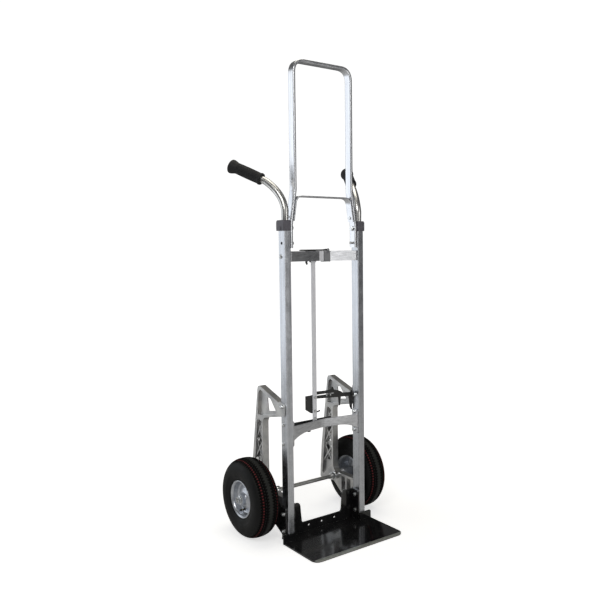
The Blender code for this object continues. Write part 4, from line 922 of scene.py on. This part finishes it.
def make_grip(label, side):
    """A bent tube from the rail's cap, and the rubber grip on it."""
    rail_low, rail_high = (Vector(corner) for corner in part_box("rail_" + label))
    foot = Vector(((rail_low.x + rail_high.x) / 2, TUBE_Y, 0))
    inner = Vector((side * GRIP_INNER.x, GRIP_INNER.y, GRIP_INNER.z))
    outer = Vector((side * GRIP_OUTER.x, GRIP_OUTER.y, GRIP_OUTER.z))
    along = (outer - inner).normalized()
    outward, backward, height = TUBE_BEND_MIDDLE
    bend_start = foot + Z_AXIS * TUBE_BEND_START * MM
    bend_middle = foot + Vector((side * outward, backward, height)) * MM
    bend_end = inner - along * 14 * MM
    path = [foot + Z_AXIS * place * MM for place, _ in TUBE_FOOT]
    for t in np.linspace(0, 1, 25):
        path.append(bend_start * (1 - t) ** 2 + bend_middle * 2 * t * (1 - t) + bend_end * t ** 2)
    path.append(outer - along * 9 * MM)
    radii = [radius * MM for _, radius in TUBE_FOOT] + [TUBE_RADIUS] * (len(path) - len(TUBE_FOOT))
    shape = bmesh.new()
    tube(shape, path, radii, 40)
    stand_for(new_piece("grip_tube_" + label + "_bent", shape, ["bright_tube"], 40), "grip_tube_" + label)
    make_sleeve("grip_" + label, inner, along, (outer - inner).length)


def make_sleeve(node, inner, along, length):
    """A ribbed rubber sleeve, with a collar at its inner end and a closed outer end that flares."""
    # Each row is (distance from the inner end, radius, sag).
    profile = [(0.6 * MM, TUBE_RADIUS + 0.1 * MM, 0)]
    collar = [(0.1, -1.6), (0.0, -0.6), (0.6, 0.4), (3, 1.4), (7, 1.4), (9.5, 0.4), (12, -0.6)]
    profile += [(distance, GRIP_RADIUS + more, 0) for distance, more in in_mm(collar)]
    for number, distance in enumerate(np.arange(RIBS_FROM, length - RIBS_TO, RIB_PITCH / RIB_STEPS)):
        swell = 0.5 * MM * math.sin(math.pi * (distance - RIBS_FROM) / (length - RIBS_FROM - RIBS_TO))
        rib = 0.32 * MM * (1 if number % RIB_STEPS < RIB_STEPS / 2 else -1)
        profile.append((distance, GRIP_RADIUS - 0.2 * MM + swell + rib, 0.4 * MM * distance / length))
    for t in np.linspace(0, 1, 9):
        swell = (GRIP_FLARE - GRIP_RADIUS) * (3 * t * t - 2 * t ** 3)
        profile.append((length - 29 * MM + 21 * MM * t, GRIP_RADIUS + swell, (0.4 + 1.6 * t) * MM))
    crown = 11 * MM
    for t in np.linspace(0.15, 1, 9):
        angle = t * math.pi / 2
        distance = length - 7 * MM + 7 * MM * math.sin(angle)
        profile.append((distance, crown + (GRIP_FLARE - crown) * math.cos(angle), 2 * MM))
    profile += [(length, 4 * MM, 2 * MM), (length - 0.8 * MM, 3.2 * MM, 2 * MM)]
    lower = (-Z_AXIS - along * along.dot(-Z_AXIS)).normalized()
    rings = []
    for distance, radius, sag in profile:
        rings.append(circle(inner + along * distance + lower * sag, along, radius, 64))
    shape = bmesh.new()
    add_rings(shape, rings)
    stand_for(new_piece(node + "_ribbed", shape, ["grip"], 50), node)


# ================================================================ assembly

FLOOR_SIZE = 30.0
FLOOR_DROP = 0.6 * MM


def make_stage():
    shape = bmesh.new()
    bmesh.ops.create_grid(shape, x_segments=1, y_segments=1, size=FLOOR_SIZE)
    floor = new_piece("studio_floor", shape, ["floor"])
    floor.location.z = -FLOOR_DROP


def area_light(name, place, aim, size, power, colour):
    light = bpy.data.lights.new(name, "AREA")
    light.shape = "RECTANGLE"
    light.size, light.size_y = size
    light.energy = power
    light.color = colour
    made = bpy.data.objects.new(name, light)
    made.location = place
    made.rotation_euler = (Vector(aim) - Vector(place)).to_track_quat("-Z", "Y").to_euler()
    bpy.context.collection.objects.link(made)


SOFT_BOXES = {
    # name: (place, width and height, power in watts, colour)
    "back left box": ((-2.3, 2.5, 1.3), (3.0, 2.8), 30, (0.92, 0.96, 1.0)),
    "front box": ((0.85, -3.35, 1.2), (1.3, 2.8), 21, (1.0, 0.99, 0.97)),
    "key": ((-2.6, -2.0, 2.9), (1.4, 1.4), 38, (1.0, 0.99, 0.96)),
    "top": ((0.2, 0.3, 3.7), (2.2, 2.2), 32, (1.0, 0.95, 0.84)),
}
LIGHTS_AIM = (0, 0, 0.75)
BACKDROP_GLOW = 1.05
SURROUND_GLOW = 0.10


def seen_by_camera(tree, shader_seen, shader_other, output):
    """Shows one shader to the camera and another to every other ray."""
    path = tree.nodes.new("ShaderNodeLightPath")
    mix = tree.nodes.new("ShaderNodeMixShader")
    tree.links.new(path.outputs["Is Camera Ray"], mix.inputs[0])
    tree.links.new(shader_other, mix.inputs[1])
    tree.links.new(shader_seen, mix.inputs[2])
    tree.links.new(mix.outputs[0], output)


def make_light():
    world = bpy.data.worlds.new("studio")
    world.use_nodes = True
    tree = world.node_tree
    tree.nodes.clear()
    glows = []
    for strength in (BACKDROP_GLOW, SURROUND_GLOW):
        glow = tree.nodes.new("ShaderNodeBackground")
        glow.inputs["Strength"].default_value = strength
        glow.inputs["Color"].default_value = (1.0, 1.0, 1.0, 1.0)
        glows.append(glow.outputs[0])
    output = tree.nodes.new("ShaderNodeOutputWorld")
    seen_by_camera(tree, glows[0], glows[1], output.inputs["Surface"])
    bpy.context.scene.world = world
    for name, (place, size, power, colour) in SOFT_BOXES.items():
        area_light(name, place, LIGHTS_AIM, size, power, colour)
    bpy.context.scene.view_settings.view_transform = "Standard"


CAMERA_PLACE = Vector((-1.3407, -1.7343, 0.9203))
CAMERA_YAW = 0.620
CAMERA_PITCH = -0.073
CAMERA_ROLL = -0.013
CAMERA_LENS = 41.16
SENSOR_WIDTH = 36.0


def make_camera():
    camera = bpy.data.cameras.new("studio camera")
    camera.lens = CAMERA_LENS
    camera.sensor_width = SENSOR_WIDTH
    made = bpy.data.objects.new("studio camera", camera)
    level = math.cos(CAMERA_PITCH)
    forward = Vector((math.sin(CAMERA_YAW) * level, math.cos(CAMERA_YAW) * level, math.sin(CAMERA_PITCH)))
    right = forward.cross(Z_AXIS).normalized()
    up = right.cross(forward)
    turned_right = right * math.cos(CAMERA_ROLL) + up * math.sin(CAMERA_ROLL)
    turned_up = up * math.cos(CAMERA_ROLL) - right * math.sin(CAMERA_ROLL)
    axes = Matrix((turned_right, turned_up, -forward)).transposed().to_4x4()
    made.matrix_world = Matrix.Translation(CAMERA_PLACE) @ axes
    bpy.context.collection.objects.link(made)
    bpy.context.scene.camera = made


BOSS_RADIUS = 24 * MM
TOE_BEVEL = 14 * MM
# Half the width of the painted highlight strip in the middle of the upper crossbar.
BEND_HIGHLIGHT_HALF = 7.5 * MM


def on_boss(middle, normal):
    """The machined faces around the axle's hole."""
    near_axle = (middle - Vector((middle.x, AXLE.y, AXLE.z))).length < BOSS_RADIUS
    return near_axle and abs(normal.x) > 0.9


def on_toe_edge(middle, normal):
    """The sloped faces along the toe plate's front edge."""
    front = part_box("toe_plate")[0][1]
    sloped = normal.y < -0.12 or abs(normal.x) > 0.12
    return middle.y < front + TOE_BEVEL and normal.z > 0.2 and sloped


def on_bend_highlight(middle, normal):
    """The front of the short straight piece in the middle of the upper crossbar, where a highlight is
    painted.
    """
    return abs(middle.x) < BEND_HIGHLIGHT_HALF and normal.y < -0.9


def main():
    for label, side in SIDES.items():
        make_tyre(label)
        make_rim(label, side)
        make_bolt("crossbar_bolt_upper_" + label, side)
        make_bolt("wheel_bracket_bolt_" + label, side)
        for number in (1, 2):
            make_bolt(f"crossbar_bolt_lower_{label}_{number}", side)
            make_bolt(f"axle_plate_bolt_{label}_{number}", side)
        softened("rail_" + label, 0.4 * MM)
        softened("rail_cap_" + label, 0.8 * MM)
        bracket = softened("wheel_bracket_" + label, 1.2 * MM)
        repaint(bracket, "turned_cast", on_boss)
        make_grip(label, side)
        make_loop_pin("loop_pin_" + label, X_AXIS * side)
        make_loop_pivot_bolt("loop_pivot_bolt_" + label, X_AXIS * side)
        make_brace_rivet("brace_rivet_" + label, X_AXIS * side)
        softened("axle_plate_" + label, 0.7 * MM)
    make_axle()
    for label, side in SIDES.items():
        make_axle_fittings(label, side)
    repaint(softened("toe_plate", 1.0 * MM), "bare_edge", on_toe_edge)
    make_loop()
    for node, sizes in PINS.items():
        make_pin(node, *sizes)
    make_arm_rivets()
    # Painted highlight: the middle strip of the upper crossbar's front gets the pale bar look.
    repaint(softened("upper_crossbar", 0.7 * MM, "mill_cross", angle=7.0), "pale_bar", on_bend_highlight)
    softened("lower_crossbar", 0.7 * MM, "mill_cross", angle=7.0)
    softened("release_rod", 0.5 * MM, "pale_bar")
    softened("lever_bracket", 0.5 * MM, "bracket")
    for node in ("hand_lever", "latch_arm", "latch_plate", "rod_guide"):
        softened(node, 0.5 * MM)
    make_stage()
    make_light()
    make_camera()


main()
